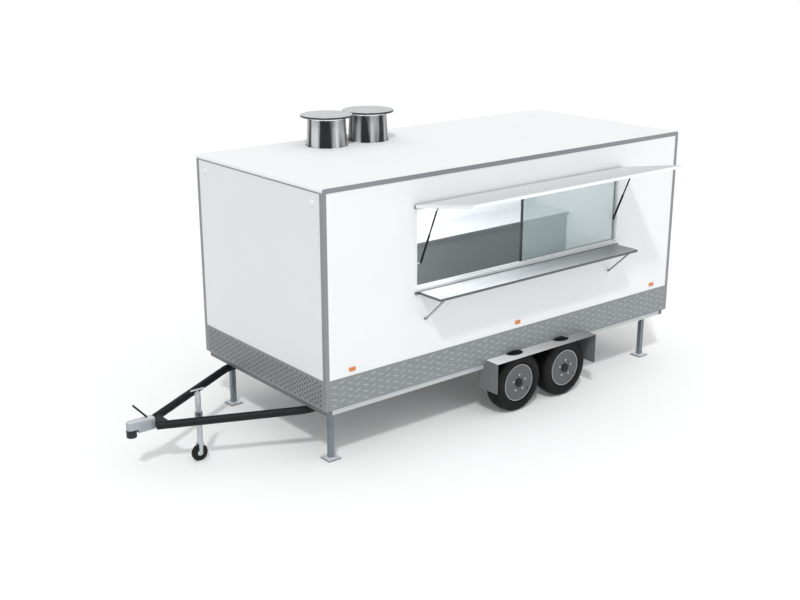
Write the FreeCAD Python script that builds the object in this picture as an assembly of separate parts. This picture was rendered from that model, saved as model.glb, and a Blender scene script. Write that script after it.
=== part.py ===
import FreeCAD, Part
import math
import os

from FreeCAD import Vector

# A twin-axle serving trailer that stands on its wheels, jockey wheel and corner legs.
# Lengths are in millimetres. X runs from the coupling to the rear, Y from the serving
# side to the far side and Z up from the ground. While the pieces are modelled, X is zero
# at the front of the body and Y at its middle. At the end everything moves so that the
# origin lies on the ground, under the middle of the whole trailer.

X_AXIS = Vector(1, 0, 0)
Y_AXIS = Vector(0, 1, 0)
Z_AXIS = Vector(0, 0, 1)
SIDES = (-1, 1)

# Clearances, and one overrun for every cut
overrun = 5.0
seat_gap = 0.3
running_gap = 0.3
side_gap = 1.0
moving_gap = 6.0

# Body box
body_length = 5000.0
body_width = 2220.0
body_height = 2140.0
skirt_bottom = 604.0
wall_thickness = 40.0
floor_thickness = 46.0
roof_thickness = 50.0
roof_edge_radius = 22.0
side_y = body_width / 2
inner_y = side_y - wall_thickness
inner_x = body_length - wall_thickness
floor_top = skirt_bottom + floor_thickness
roof_top = skirt_bottom + body_height
roof_bottom = roof_top - roof_thickness

# Sheet skirt and edge trims
sheet = 3.0
skirt_height = 302.0
trim_leg = 42.0
trim_radius = 2.5
roof_trim_height = 46.0
roof_trim_drop = 2.0
end_trim_height = 12.0
trim_gap = 0.5
skirt_top = skirt_bottom + skirt_height
outer_y = side_y + sheet

# Chassis
chassis_height = 63.0
chassis_inset = 30.0
side_rail_width = 60.0
main_rail_width = 80.0
main_rail_inset = 375.0
rail_wall = 4.0
rail_plug = 20.0
cross_width = 60.0
cross_place_shares = (0.2, 0.38, 0.56, 0.74)
chassis_bottom = skirt_bottom - chassis_height
main_rail_y = side_y - main_rail_inset

# Wheels
tyre_radius = 327.5
tyre_width = 195.0
tyre_outset = 17.5
tyre_wall = 13.0
crown_drop = 6.0
shoulder_drop = 32.0
crown_share = 0.64
shoulder_share = 0.95
shoulder_middle_shares = (0.62, 0.36)
widest_share = 0.5
rim_radius = 207.0
rim_lip = 16.5
rim_width = 152.0
rim_flange = 8.0
rim_shell = 4.0
rim_edge = 12.0
disc_inset = 10.5
disc_thickness = 8.0
edge_rise = 2.5
hub_radius = 55.0
hub_cap_radius = 47.0
hub_cap_height = 14.0
nut_circle_radius = 90.0
nut_radius = 12.0
nut_height = 12.0
nut_count = 5
drum_radius = 125.0
drum_width = 110.0
drum_inset = 30.0
wheel_spacing = 710.0
wheel_group_x = 2797.0
wheel_xs = (wheel_group_x - wheel_spacing / 2, wheel_group_x + wheel_spacing / 2)
wheel_names = ("front", "rear")
side_names = {-1: "serving", 1: "far"}
tyre_y = side_y + tyre_outset
tyre_half = tyre_width / 2
seat_radius = rim_radius - rim_lip

# Axles
beam_size = 80.0
beam_lead = 140.0
beam_z = 420.0
beam_end_inset = 230.0
arm_thickness = 36.0
arm_width = 90.0
spindle_radius = 20.0
spindle_inset = 70.0
bracket_plate = 10.0
bracket_length = 130.0
beam_end_y = side_y - beam_end_inset

# Mudguards and wheel boxes
guard_depth = 180.0
guard_sheet = 3.0
guard_front_room = 61.5
guard_rear_room = 77.5
crown_show = 10.0
guard_bottom = 309.0
guard_tuck = 115.0
tyre_clearance = 6.0
slot_width_share = 0.87
arch_depth = 100.0
arch_room = 25.0
arch_sheet = 2.0
guard_top = tyre_radius * 2 - crown_show
guard_front = wheel_xs[0] - tyre_radius - guard_front_room
guard_rear = wheel_xs[1] + tyre_radius + guard_rear_room
arch_top = tyre_radius * 2 + arch_room

# Drawbar
tube_radius = 40.0
tube_wall = 4.0
drawbar_rear_x = 1100.0
drawbar_bend_x = 30.0
drawbar_meet_x = -1365.0
drawbar_nose_z = 458.0
drawbar_bend_radius = 260.0
nose_block_height = 64.0
nose_block_front = 55.0
nose_block_rear = 115.0
drawbar_rail_z = chassis_bottom - tube_radius
drawbar_slope = main_rail_y / (drawbar_bend_x - drawbar_meet_x)

# Coupling head
cup_x = -1462.0
cup_radius = 50.0
cup_bottom = 378.0
cup_height = 80.0
ball_radius = 25.0
ball_clearance = 0.2
ball_depth = 20.0
cup_edge_radius = 12.0
neck_height = 44.0
head_width = 94.0
head_height = 79.0
head_side_drop = 38.0
head_side_setback = 56.0
head_wall = 5.0
head_rear_x = -1235.0
head_edge_radius = 14.0
head_panel_border = 12.0
head_panel_depth = 1.5
lever_radius = 10.0
lever_length = 190.0
lever_lean = 42.0
lever_setback = 162.0
head_bottom = cup_bottom + cup_height
head_top = head_bottom + head_height
head_half = head_width / 2
head_side_x = cup_x + head_side_setback
head_side_bottom = head_bottom - head_side_drop

# Jockey wheel
jockey_x = -812.0
jockey_y = -125.0
post_radius = 28.0
post_wall = 3.0
post_height = 518.0
post_cap = 8.0
collar_wall = 9.0
collar_height = 60.0
collar_z = 475.0
clamp_arm_width = 40.0
clamp_arm_height = 26.0
crank_width = 143.0
crank_radius = 8.0
crank_rise = 34.0
jockey_radius = 83.0
jockey_width = 46.0
jockey_shoulder = 13.0
jockey_hub_radius = 31.0
jockey_hub_width = 36.0
jockey_boss_radius = 20.0
jockey_boss_width = 50.0
jockey_pin_radius = 6.0
jockey_trail = 13.0
fork_clearance = 9.0
fork_bridge = 8.0
fork_blade = 6.0
fork_blade_width = 32.0
fork_stem_length = 130.0
fork_bottom = jockey_radius * 2 + fork_clearance
post_bottom = fork_bottom + fork_bridge + seat_gap
post_top = post_bottom + post_height

# Corner legs
leg_x_inset = 186.0
leg_y_inset = 204.0
leg_size = 50.0
leg_wall = 4.0
foot_size = 145.0
foot_thickness = 18.0
leg_pin_radius = 6.0
leg_pin_drop = 41.0
leg_head = 25.0
leg_bracket_plate = 5.0
leg_bracket_foot = 22.0
leg_cross_width = 70.0
leg_gusset = 45.0
leg_xs = (leg_x_inset, body_length - leg_x_inset)
leg_y = side_y - leg_y_inset
leg_pivot_z = chassis_bottom - leg_pin_drop

# Serving opening and its sliding panes
opening_middle_x = 2561.0
opening_width = 2920.0
opening_height = 797.0
opening_head_drop = 294.0
lining = 5.0
lining_depth = 54.0
track_height = 14.0
track_floor = 2.0
track_rib = 2.4
sash_width = 20.0
sash_depth = 8.0
pane_thickness = 4.0
sash_cover_share = 0.505
opening_left = opening_middle_x - opening_width / 2
opening_right = opening_middle_x + opening_width / 2
opening_top = roof_bottom - opening_head_drop
opening_bottom = opening_top - opening_height
groove = sash_depth + seat_gap * 2
track_depth = track_rib * 3 + groove * 2
track_back = -side_y + lining_depth
track_front = track_back - track_depth

# Hatch
hatch_overlap = 40.0
hatch_thickness = 30.0
hatch_border = 28.0
hatch_recess = 2.0
hatch_skin = 3.0
hatch_rib_height = 16.0
hatch_rise = 10.0
hatch_pin_out = 10.0
hatch_pin_over = 18.0
hatch_pin_radius = 5.0
hatch_lug_wall = 2.0
hatch_curl_wall = 3.0
hatch_curl_share = 0.6
hatch_root = 12.0
hatch_lug_count = 7
hatch_lug_width = 40.0
hatch_left = opening_left - hatch_overlap
hatch_right = opening_right + hatch_overlap
hatch_pin_y = -side_y - hatch_pin_out
hatch_pin_z = opening_top + hatch_pin_over

# Gas struts
strut_edge_inset = 60.0
strut_foot_in = 12.0
strut_foot_rise = 257.0
strut_pin_reach = 215.0
strut_pin_drop = 22.0
strut_radius = 11.0
strut_wall = 2.0
strut_neck = 12.0
strut_gland = 8.0
strut_rod_radius = 8.0
strut_eye_radius = 9.5
strut_eye_width = 17.0
strut_pin_radius = 4.0
strut_foot_radius = 16.0
strut_foot_plate = 4.0
strut_lug = 6.0
strut_lug_half = 11.0
strut_xs = (opening_left + strut_edge_inset, opening_right - strut_edge_inset)
strut_foot_y = -side_y + strut_foot_in
strut_foot_z = opening_bottom + strut_foot_rise
strut_overlap = strut_gland * 2 + side_gap

# Serving shelf and its stays
shelf_rail_overlap = 25.0
shelf_rail_depth = 18.0
shelf_end_inset = 45.0
shelf_drop = 25.0
shelf_root_out = 26.0
shelf_reach = 307.0
shelf_thickness = 25.0
shelf_sheet = 3.0
shelf_pin_drop = 8.0
shelf_pin_radius = 4.0
shelf_lug_wall = 2.0
shelf_lug_width = 20.0
shelf_curl_wall = 3.0
shelf_rib_width = 36.0
shelf_rib_count = 5
stay_inset = 110.0
stay_foot_drop = 268.0
stay_foot_out = 16.0
stay_tip_inset = 43.0
stay_width = 16.0
stay_thickness = 14.0
stay_pin_radius = 4.0
stay_lug = 5.0
shelf_top = opening_bottom - shelf_drop
shelf_bottom = shelf_top - shelf_thickness
shelf_left = opening_left - shelf_rail_overlap + shelf_end_inset
shelf_right = opening_right + shelf_rail_overlap - shelf_end_inset
shelf_root_y = -side_y - shelf_root_out
shelf_tip_y = shelf_root_y - shelf_reach
shelf_pin_y = shelf_root_y
shelf_pin_z = shelf_bottom - shelf_pin_drop
stay_xs = (opening_left + stay_inset, opening_right - stay_inset)
stay_foot_y = -side_y - stay_foot_out
stay_foot_z = shelf_bottom - stay_foot_drop
stay_tip_y = shelf_tip_y + stay_tip_inset
stay_tip_z = shelf_bottom - seat_gap - stay_width / 2
hatch_reach = hatch_pin_z - shelf_top - moving_gap

# Counter inside, along the far wall
counter_depth = 570.0
counter_height = 842.0
counter_board = 18.0
worktop_thickness = 30.0
worktop_overhang = 35.0
plinth_height = 90.0
plinth_setback = 45.0
counter_end_gap = 5.0
sink_length = 500.0
sink_width = 400.0
sink_depth = 150.0
sink_sheet = 2.0
sink_rim = 14.0
sink_corner_radius = 40.0
sink_middle_x = 2490.0
sink_front_in = 85.0
worktop_bottom = floor_top + counter_height
worktop_top = worktop_bottom + worktop_thickness
counter_front_y = inner_y - counter_depth
worktop_front_y = counter_front_y - worktop_overhang
counter_low_x = wall_thickness + counter_end_gap
counter_high_x = inner_x - counter_end_gap

# Roof vents
vent_xs = (1350.0, 1904.0)
vent_side_inset = 419.0
vent_base_radius = 220.0
vent_top_radius = 204.0
vent_height = 268.0
vent_sheet = 3.0
vent_flange = 8.0
vent_gap = 40.0
vent_cap_radius = 281.0
vent_cap_thickness = 22.0
vent_cap_crown = 8.0
vent_post_radius = 6.0
vent_post_count = 4
vent_y = side_y - vent_side_inset

# Rear door
door_width = 650.0
door_head_drop = 189.0
door_edge_inset = 160.0
door_gap = 5.0
door_trim = 18.0
door_pin_out = 14.0
door_pin_radius = 6.0
door_knuckle_wall = 4.0
door_knuckle_height = 60.0
door_hinge_inset = 75.0
door_leaf_plate = 4.0
door_leaf_width = 50.0
handle_length = 160.0
handle_radius = 8.0
handle_stand = 38.0
handle_rise = 850.0
handle_inset = 60.0
door_low_y = -side_y + door_edge_inset
door_high_y = door_low_y + door_width
door_bottom = floor_top + door_gap
door_top = roof_bottom - door_head_drop
door_pin_x = body_length + door_pin_out
door_pin_y = door_low_y - door_gap
door_hinge_low = skirt_top + door_hinge_inset
door_hinge_high = door_top - door_hinge_inset
door_hinge_zs = (door_hinge_low, (door_hinge_low + door_hinge_high) / 2, door_hinge_high)

# Lamps
marker_length = 70.0
marker_height = 35.0
marker_depth = 14.0
marker_rise = 64.0
marker_inset = 307.0
marker_edge_radius = 5.0
front_lamp_radius = 28.0
front_lamp_depth = 18.0
front_lamp_inset = 165.0
front_lamp_drop = 97.0
front_lamp_edge_radius = 6.0
rear_lamp_width = 92.0
rear_lamp_height = 230.0
rear_lamp_depth = 42.0
rear_lamp_inset = 95.0
rear_lamp_rise = 151.0
rear_lamp_edge_radius = 6.0


def box(x_low, x_high, y_low, y_high, z_low, z_high):
    """A block between two corners."""
    corner = Vector(x_low, y_low, z_low)
    return Part.makeBox(x_high - x_low, y_high - y_low, z_high - z_low, corner)


def bar(start, end, radius):
    """A round bar between two points."""
    run = end - start
    return Part.makeCylinder(radius, run.Length, start, run)


def prism(points, along):
    """A flat outline pushed along a direction."""
    outline = Part.makePolygon(list(points) + [points[0]])
    return Part.Face(outline).extrude(along)


def ring(start, axis, outer, inner, length):
    """A tube that starts at a point and runs along an axis."""
    tube = Part.makeCylinder(outer, length, start, axis)
    bore = Part.makeCylinder(inner, length + overrun * 2, start - axis * overrun, axis)
    return tube.cut(bore)


def tube_along_x(x_low, x_high, y_middle, width, z_low, height):
    """A hollow rectangular rail that runs along X."""
    low = y_middle - width / 2
    high = y_middle + width / 2
    outer = box(x_low, x_high, low, high, z_low, z_low + height)
    inner = box(x_low - overrun, x_high + overrun, low + rail_wall, high - rail_wall,
                z_low + rail_wall, z_low + height - rail_wall)
    return outer.cut(inner)


def tube_along_y(x_middle, width, y_low, y_high, z_low, height):
    """A hollow rectangular rail that runs along Y."""
    low = x_middle - width / 2
    high = x_middle + width / 2
    outer = box(low, high, y_low, y_high, z_low, z_low + height)
    inner = box(low + rail_wall, high - rail_wall, y_low - overrun, y_high + overrun,
                z_low + rail_wall, z_low + height - rail_wall)
    return outer.cut(inner)


def fused(shapes):
    """One solid from pieces that touch or overlap."""
    whole = shapes[0].multiFuse(shapes[1:])
    return whole.removeSplitter()


def both_sides(shape):
    """A serving-side shape and its mirror image on the far side."""
    return [shape, shape.mirror(Vector(0, 0, 0), Y_AXIS)]


def leaned(shape, pivot_y, pivot_z, angle):
    """A shape turned about a line along X, outwards from the serving side."""
    turned = shape.copy()
    turned.rotate(Vector(0, pivot_y, pivot_z), X_AXIS, angle)
    return turned


def edges_at(shape, **places):
    """The edges that lie wholly at the given places on X, Y or Z."""
    found = []
    for edge in shape.Edges:
        bound = edge.BoundBox
        spans = {"x": (bound.XMin, bound.XMax), "y": (bound.YMin, bound.YMax),
                 "z": (bound.ZMin, bound.ZMax)}
        if all(abs(end - place) < seat_gap for name, place in places.items() for end in spans[name]):
            found.append(edge)
    return found


def swept_tube(points, bend_radius, outer, wall):
    """A hollow tube along two straight runs joined by a tangent bend."""
    start, corner, end = points
    back = (start - corner).normalize()
    onward = (end - corner).normalize()
    half_turn = (math.pi - back.getAngle(onward)) / 2
    reach = bend_radius * math.tan(half_turn)
    inward = (back + onward).normalize()
    bend_start = corner + back * reach
    bend_end = corner + onward * reach
    bend_middle = corner + inward * (bend_radius / math.cos(half_turn) - bend_radius)
    path = Part.Wire([Part.makeLine(start, bend_start),
                      Part.Arc(bend_start, bend_middle, bend_end).toShape(),
                      Part.makeLine(bend_end, end)])
    solids = []
    for radius in (outer, outer - wall):
        circle = Part.makeCircle(radius, start, corner - start)
        solids.append(path.makePipeShell([Part.Wire(circle)], True, False))
    return solids[0].cut(solids[1])


def chassis_rails():
    """Two main rails and the side rails, which stop short of the wheels."""
    rails = []
    low = chassis_inset + side_rail_width
    high = body_length - low
    side_rail_y = side_y - chassis_inset - side_rail_width / 2
    for side in SIDES:
        rails.append(tube_along_x(low, high, side * main_rail_y, main_rail_width,
                                  chassis_bottom, chassis_height))
        for start, end in ((low, guard_front), (guard_rear, high)):
            rails.append(tube_along_x(start, end, side * side_rail_y, side_rail_width,
                                      chassis_bottom, chassis_height))
    return rails


def leg_bracket(x, y, inward):
    """Two ears with the pin that a leg turns on, and a gusset on the ear outside."""
    near = leg_size / 2 + side_gap
    reach = leg_cross_width / 2
    low = leg_pivot_z - leg_head
    pieces = []
    for side in SIDES:
        ear_y = y + side * near
        outline = [Vector(x - reach, ear_y, chassis_bottom), Vector(x + reach, ear_y, chassis_bottom),
                   Vector(x + leg_bracket_foot, ear_y, low), Vector(x - leg_bracket_foot, ear_y, low)]
        pieces.append(prism(outline, Y_AXIS * (side * leg_bracket_plate)))
        corner = Vector(x - inward * reach, ear_y, chassis_bottom)
        gusset = [corner, corner - X_AXIS * (inward * leg_gusset), corner - Z_AXIS * leg_gusset,
                  corner + X_AXIS * (inward * leg_bracket_plate)]
        pieces.append(prism(gusset, Y_AXIS * (side * leg_bracket_plate)))
    pin_half = near + leg_bracket_plate * 2
    pieces.append(bar(Vector(x, y - pin_half, leg_pivot_z), Vector(x, y + pin_half, leg_pivot_z),
                      leg_pin_radius))
    return pieces


def end_rail(x):
    """A rail across one end of the chassis, with plugs in its open ends."""
    end_y = side_y - chassis_inset
    half = side_rail_width / 2 - rail_wall
    plug = box(x - half, x + half, -end_y, rail_plug - end_y, chassis_bottom + rail_wall,
               skirt_bottom - rail_wall)
    tube = tube_along_y(x, side_rail_width, -end_y, end_y, chassis_bottom, chassis_height)
    return [tube] + both_sides(plug)


def cross_members():
    """End rails, members between the main rails, and the outriggers that hold the legs."""
    end_x = chassis_inset + side_rail_width / 2
    members = end_rail(end_x) + end_rail(body_length - end_x)
    inner = main_rail_y - main_rail_width / 2
    for x in [body_length * share for share in cross_place_shares]:
        members.append(tube_along_y(x, cross_width, -inner, inner, chassis_bottom, chassis_height))
    for x, inward in zip(leg_xs, (1, -1)):
        members.append(tube_along_y(x, leg_cross_width, -inner, inner, chassis_bottom, chassis_height))
        outrigger = tube_along_y(x, leg_cross_width, side_rail_width + chassis_inset - side_y,
                                 -main_rail_y - main_rail_width / 2, chassis_bottom, chassis_height)
        members += both_sides(fused([outrigger] + leg_bracket(x, -leg_y, inward)))
    return members


def drawbar_point(x, side):
    """A point on the straight part of a drawbar tube."""
    climb = (drawbar_rail_z - drawbar_nose_z) / (drawbar_bend_x - head_rear_x)
    return Vector(x, side * drawbar_slope * (x - drawbar_meet_x), drawbar_nose_z + climb * (x - head_rear_x))


def drawbar():
    """Two round tubes joined by a nose block, which run back under the main rails."""
    pieces = []
    bores = []
    for side in SIDES:
        start = drawbar_point(head_rear_x, side)
        corner = drawbar_point(drawbar_bend_x, side)
        end = Vector(drawbar_rear_x, corner.y, corner.z)
        pieces.append(swept_tube((start, corner, end), drawbar_bend_radius, tube_radius, tube_wall))
        bores.append(bar(start, corner, tube_radius - tube_wall))
    low = drawbar_nose_z - nose_block_height / 2
    half = head_half - head_wall - seat_gap
    rear_x = head_rear_x + nose_block_rear
    rear_half = drawbar_point(rear_x, 1).y
    outline = [Vector(head_rear_x - nose_block_front, -half, low), Vector(head_rear_x, -half, low),
               Vector(rear_x, -rear_half, low), Vector(rear_x, rear_half, low),
               Vector(head_rear_x, half, low), Vector(head_rear_x - nose_block_front, half, low)]
    block = prism(outline, Z_AXIS * nose_block_height)
    return [fused([pieces[0], block.cut(bores[0]).cut(bores[1]), pieces[1]])]


def head_panels():
    """Shallow recesses in the two sides of the coupling head."""
    low = head_side_bottom + head_panel_border
    high = head_top - head_edge_radius - head_panel_border
    return [box(head_side_x + head_panel_border, head_rear_x - head_panel_border,
                side * head_half - head_panel_depth, side * head_half + head_panel_depth, low, high)
            for side in SIDES]


def coupling_head():
    """A pressed housing with a round nose over the ball cup and sides over the nose block."""
    nose = Part.makeCylinder(head_half, head_height, Vector(cup_x, 0, head_bottom), Z_AXIS)
    deck = box(cup_x, head_rear_x, -head_half, head_half, head_bottom, head_top)
    cheeks = box(head_side_x, head_rear_x, -head_half, head_half, head_side_bottom, head_top)
    outer = fused([nose, deck, cheeks])
    top_edges = [edge for edge in edges_at(outer, z=head_top) if edge.BoundBox.XMin < head_side_x]
    outer = outer.makeFillet(head_edge_radius, top_edges)
    inner_half = head_half - head_wall
    inner_top = head_top - head_wall
    throat = Part.makeCylinder(inner_half, inner_top - head_side_bottom + overrun,
                               Vector(cup_x, 0, head_side_bottom - overrun), Z_AXIS)
    bay = box(cup_x, head_rear_x + overrun, -inner_half, inner_half, head_side_bottom - overrun, inner_top)
    front = box(head_side_x, head_side_x + head_wall, -head_half, head_half, head_side_bottom, head_bottom)
    shell = outer.cut(fused([throat, bay]))
    for panel in head_panels():
        shell = shell.cut(panel)
    return [fused([shell, front])]


def coupling_fittings():
    """The ball cup under the nose and the hand lever on the housing."""
    cup = Part.makeCylinder(cup_radius, cup_height - seat_gap, Vector(cup_x, 0, cup_bottom), Z_AXIS)
    cup = cup.makeFillet(cup_edge_radius, edges_at(cup, z=cup_bottom))
    neck_radius = head_half - head_wall - seat_gap
    neck = Part.makeCylinder(neck_radius, cup_height + neck_height, Vector(cup_x, 0, cup_bottom), Z_AXIS)
    neck = neck.cut(box(cup_x - cup_radius, cup_x + cup_radius, -cup_radius, cup_radius,
                        cup_bottom, cup_bottom + cup_edge_radius))
    bore_radius = ball_radius + ball_clearance
    socket = Part.makeCylinder(bore_radius, ball_depth + overrun,
                               Vector(cup_x, 0, cup_bottom - overrun), Z_AXIS)
    dome = Part.makeSphere(bore_radius, Vector(cup_x, 0, cup_bottom + ball_depth))
    cup = fused([cup, neck]).cut(socket).cut(dome)
    lean = math.radians(lever_lean)
    foot = Vector(cup_x + lever_setback, 0, head_top + lever_radius + seat_gap)
    tip = foot + Vector(-math.sin(lean), 0, math.cos(lean)) * lever_length
    lever = fused([bar(foot, tip, lever_radius), Part.makeSphere(lever_radius, tip),
                   Part.makeSphere(lever_radius, foot)])
    return [cup, lever]


def jockey_clamp():
    """A collar round the jockey post, on an arm from the near drawbar tube."""
    low = collar_z - collar_height / 2
    centre = Vector(jockey_x, jockey_y, low)
    collar = ring(centre, Z_AXIS, post_radius + collar_wall, post_radius + running_gap, collar_height)
    along = Vector(1, -drawbar_slope, 0).normalize()
    across = Vector(along.y, -along.x, 0)
    tube_point = drawbar_point(jockey_x, -1)
    distance = (jockey_y - tube_point.y) * along.x
    half = along * (clamp_arm_width / 2)
    start = Vector(jockey_x, jockey_y, collar_z - clamp_arm_height / 2) + across * (post_radius + side_gap)
    end = start + across * (distance - post_radius - side_gap)
    arm = prism([start + half, start - half, end - half, end + half], Z_AXIS * clamp_arm_height)
    tube = bar(drawbar_point(head_rear_x, -1), drawbar_point(drawbar_bend_x, -1), tube_radius + seat_gap)
    return [fused([collar, arm.cut(tube)])]


def jockey_post():
    """The sliding post with its cap and crank bar."""
    foot = Vector(jockey_x, jockey_y, post_bottom)
    top = Vector(jockey_x, jockey_y, post_top)
    crank = top + Z_AXIS * crank_rise
    half = X_AXIS * (crank_width / 2)
    post = ring(foot, Z_AXIS, post_radius, post_radius - post_wall, post_height)
    cap = Part.makeCylinder(post_radius, post_cap, top - Z_AXIS * post_cap, Z_AXIS)
    return [fused([post, cap, bar(top - Z_AXIS * post_cap, crank, crank_radius),
                   bar(crank - half, crank + half, crank_radius)])]


def jockey_fork():
    """The swivelling fork: a stem inside the post, a bridge and two blades with the axle pin."""
    axle_x = jockey_x - jockey_trail
    near = jockey_boss_width / 2 + side_gap
    far = near + fork_blade
    half = fork_blade_width / 2
    bridge_top = fork_bottom + fork_bridge
    stem = Part.makeCylinder(post_radius - post_wall - running_gap, fork_stem_length + fork_bridge,
                             Vector(jockey_x, jockey_y, fork_bottom), Z_AXIS)
    bridge = box(axle_x - half, jockey_x + post_radius, jockey_y - far, jockey_y + far,
                 fork_bottom, bridge_top)
    pieces = [stem, bridge]
    for side in SIDES:
        start = jockey_y + side * near
        outline = [Vector(axle_x - half, start, bridge_top), Vector(jockey_x + half, start, bridge_top),
                   Vector(axle_x + half, start, jockey_radius), Vector(axle_x - half, start, jockey_radius)]
        pieces.append(prism(outline, Y_AXIS * (side * fork_blade)))
        pieces.append(Part.makeCylinder(half, fork_blade, Vector(axle_x, start, jockey_radius),
                                        Y_AXIS * side))
    pieces.append(bar(Vector(axle_x, jockey_y - far, jockey_radius),
                      Vector(axle_x, jockey_y + far, jockey_radius), jockey_pin_radius))
    return [fused(pieces)]


def jockey_disc(radius, width):
    """A disc on the jockey wheel's axle."""
    start = Vector(jockey_x - jockey_trail, jockey_y - width / 2, jockey_radius)
    return Part.makeCylinder(radius, width, start, Y_AXIS)


def jockey_tyre():
    """The jockey wheel's solid tyre."""
    tyre = jockey_disc(jockey_radius, jockey_width)
    rims = [edge for edge in tyre.Edges if edge.Closed]
    tyre = tyre.makeFillet(jockey_shoulder, rims)
    return [tyre.cut(jockey_disc(jockey_hub_radius + seat_gap, jockey_width + overrun * 2))]


def jockey_hub():
    """The jockey wheel's hub, bored for the axle pin."""
    hub = fused([jockey_disc(jockey_hub_radius, jockey_hub_width),
                 jockey_disc(jockey_boss_radius, jockey_boss_width)])
    return [hub.cut(jockey_disc(jockey_pin_radius + running_gap, jockey_boss_width + overrun * 2))]


def corner_leg(x, side):
    """A swing-down leg with a foot plate, bored for its pin."""
    y = side * leg_y
    half = leg_size / 2
    top = leg_pivot_z + leg_head
    outer = box(x - half, x + half, y - half, y + half, foot_thickness, top)
    inner = half - leg_wall
    hollow = box(x - inner, x + inner, y - inner, y + inner, foot_thickness, top + overrun)
    foot = foot_size / 2
    plate = box(x - foot, x + foot, y - foot, y + foot, 0, foot_thickness)
    pin = bar(Vector(x, y - leg_size, leg_pivot_z), Vector(x, y + leg_size, leg_pivot_z),
              leg_pin_radius + running_gap)
    return [fused([outer.cut(hollow), plate]).cut(pin)]


def axle(wheel_x):
    """A beam on brackets under the main rails, with a trailing arm and spindle at each end."""
    beam_x = wheel_x - beam_lead
    half = beam_size / 2
    arm_half = arm_width / 2
    pieces = [tube_along_y(beam_x, beam_size, -beam_end_y, beam_end_y, beam_z - half, beam_size)]
    for side in SIDES:
        near = side * beam_end_y
        outward = Y_AXIS * (side * arm_thickness)
        beam_end = Vector(beam_x, near, beam_z)
        wheel_end = Vector(wheel_x, near, tyre_radius)
        run = (wheel_end - beam_end).normalize()
        across = Vector(-run.z, 0, run.x) * arm_half
        pieces.append(prism([beam_end + across, wheel_end + across, wheel_end - across, beam_end - across],
                            outward))
        for end in (beam_end, wheel_end):
            pieces.append(Part.makeCylinder(arm_half, arm_thickness, end, Y_AXIS * side))
        spindle_end = Vector(wheel_x, side * (tyre_y - tyre_half + spindle_inset), tyre_radius)
        pieces.append(bar(wheel_end, spindle_end, spindle_radius))
        for edge in SIDES:
            plate_y = side * main_rail_y + edge * main_rail_width / 2
            outline = [Vector(beam_x - bracket_length / 2, plate_y, chassis_bottom),
                       Vector(beam_x + bracket_length / 2, plate_y, chassis_bottom),
                       Vector(beam_x + half, plate_y, beam_z), Vector(beam_x - half, plate_y, beam_z)]
            pieces.append(prism(outline, Y_AXIS * (-edge * bracket_plate)))
    return fused(pieces)


def floor_panel():
    """The floor, cut away over the wheels on each side."""
    panel = box(0, body_length, -side_y, side_y, skirt_bottom, floor_top)
    notch = box(guard_front, guard_rear, -side_y - overrun, -side_y + arch_depth,
                skirt_bottom - overrun, floor_top + overrun)
    for cut in both_sides(notch):
        panel = panel.cut(cut)
    return [panel]


def wheel_boxes():
    """Folded trays that close the floor over the wheels."""
    inside = -side_y + arch_depth
    outer = box(guard_front, guard_rear, -side_y, inside, skirt_bottom, arch_top)
    inner = box(guard_front + arch_sheet, guard_rear - arch_sheet, -side_y - overrun,
                inside - arch_sheet, skirt_bottom - overrun, arch_top - arch_sheet)
    return both_sides(outer.cut(inner))


def long_wall():
    """The serving-side wall before its opening is cut, notched over the wheel box."""
    wall = box(0, body_length, -side_y, -inner_y, floor_top, roof_bottom)
    return wall.cut(box(guard_front, guard_rear, -side_y - overrun, -inner_y + overrun,
                        floor_top - overrun, arch_top))


def serving_wall():
    """The serving-side wall with its long opening."""
    return [long_wall().cut(box(opening_left, opening_right, -side_y - overrun, -inner_y + overrun,
                                opening_bottom, opening_top))]


def far_wall():
    """The plain wall on the far side."""
    return [both_sides(long_wall())[1]]


def front_wall():
    """The wall behind the drawbar, between the side walls."""
    return [box(0, wall_thickness, -inner_y, inner_y, floor_top, roof_bottom)]


def rear_wall():
    """The rear wall with its doorway."""
    wall = box(inner_x, body_length, -inner_y, inner_y, floor_top, roof_bottom)
    return [wall.cut(box(inner_x - overrun, body_length + overrun, door_low_y - door_gap,
                         door_high_y + door_gap, floor_top - overrun, door_top + door_gap))]


def roof_panel():
    """The roof, with rounded front and rear edges."""
    panel = box(0, body_length, -side_y, side_y, roof_bottom, roof_top)
    ends = edges_at(panel, x=0, z=roof_top) + edges_at(panel, x=body_length, z=roof_top)
    return [panel.makeFillet(roof_edge_radius, ends)]


def corner_angle(x, x_side):
    """A rounded angle down one corner of the serving side."""
    face_x = x + x_side * sheet
    leg_x = x - x_side * trim_leg
    top = roof_bottom - trim_gap
    block = box(min(face_x, leg_x), max(face_x, leg_x), -outer_y, -side_y + trim_leg, skirt_bottom, top)
    block = block.makeFillet(trim_radius, edges_at(block, x=face_x, y=-outer_y))
    return block.cut(box(0, body_length, -side_y, side_y, skirt_bottom - overrun, top + overrun))


def edge_trims():
    """Corner angles, strips along the roof's sides and thin strips across its ends."""
    trims = []
    strip_top = roof_top - roof_trim_drop
    strip = box(0, body_length, -outer_y, -side_y, strip_top - roof_trim_height, strip_top)
    ends = edges_at(strip, x=0, z=strip_top) + edges_at(strip, x=body_length, z=strip_top)
    trims += both_sides(strip.makeFillet(roof_edge_radius, ends))
    for x, x_side in ((0, -1), (body_length, 1)):
        trims += both_sides(corner_angle(x, x_side))
        face_x = x + x_side * sheet
        trims.append(box(min(x, face_x), max(x, face_x), -side_y + trim_gap, side_y - trim_gap,
                         roof_bottom, roof_bottom + end_trim_height))
    return trims


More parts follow.
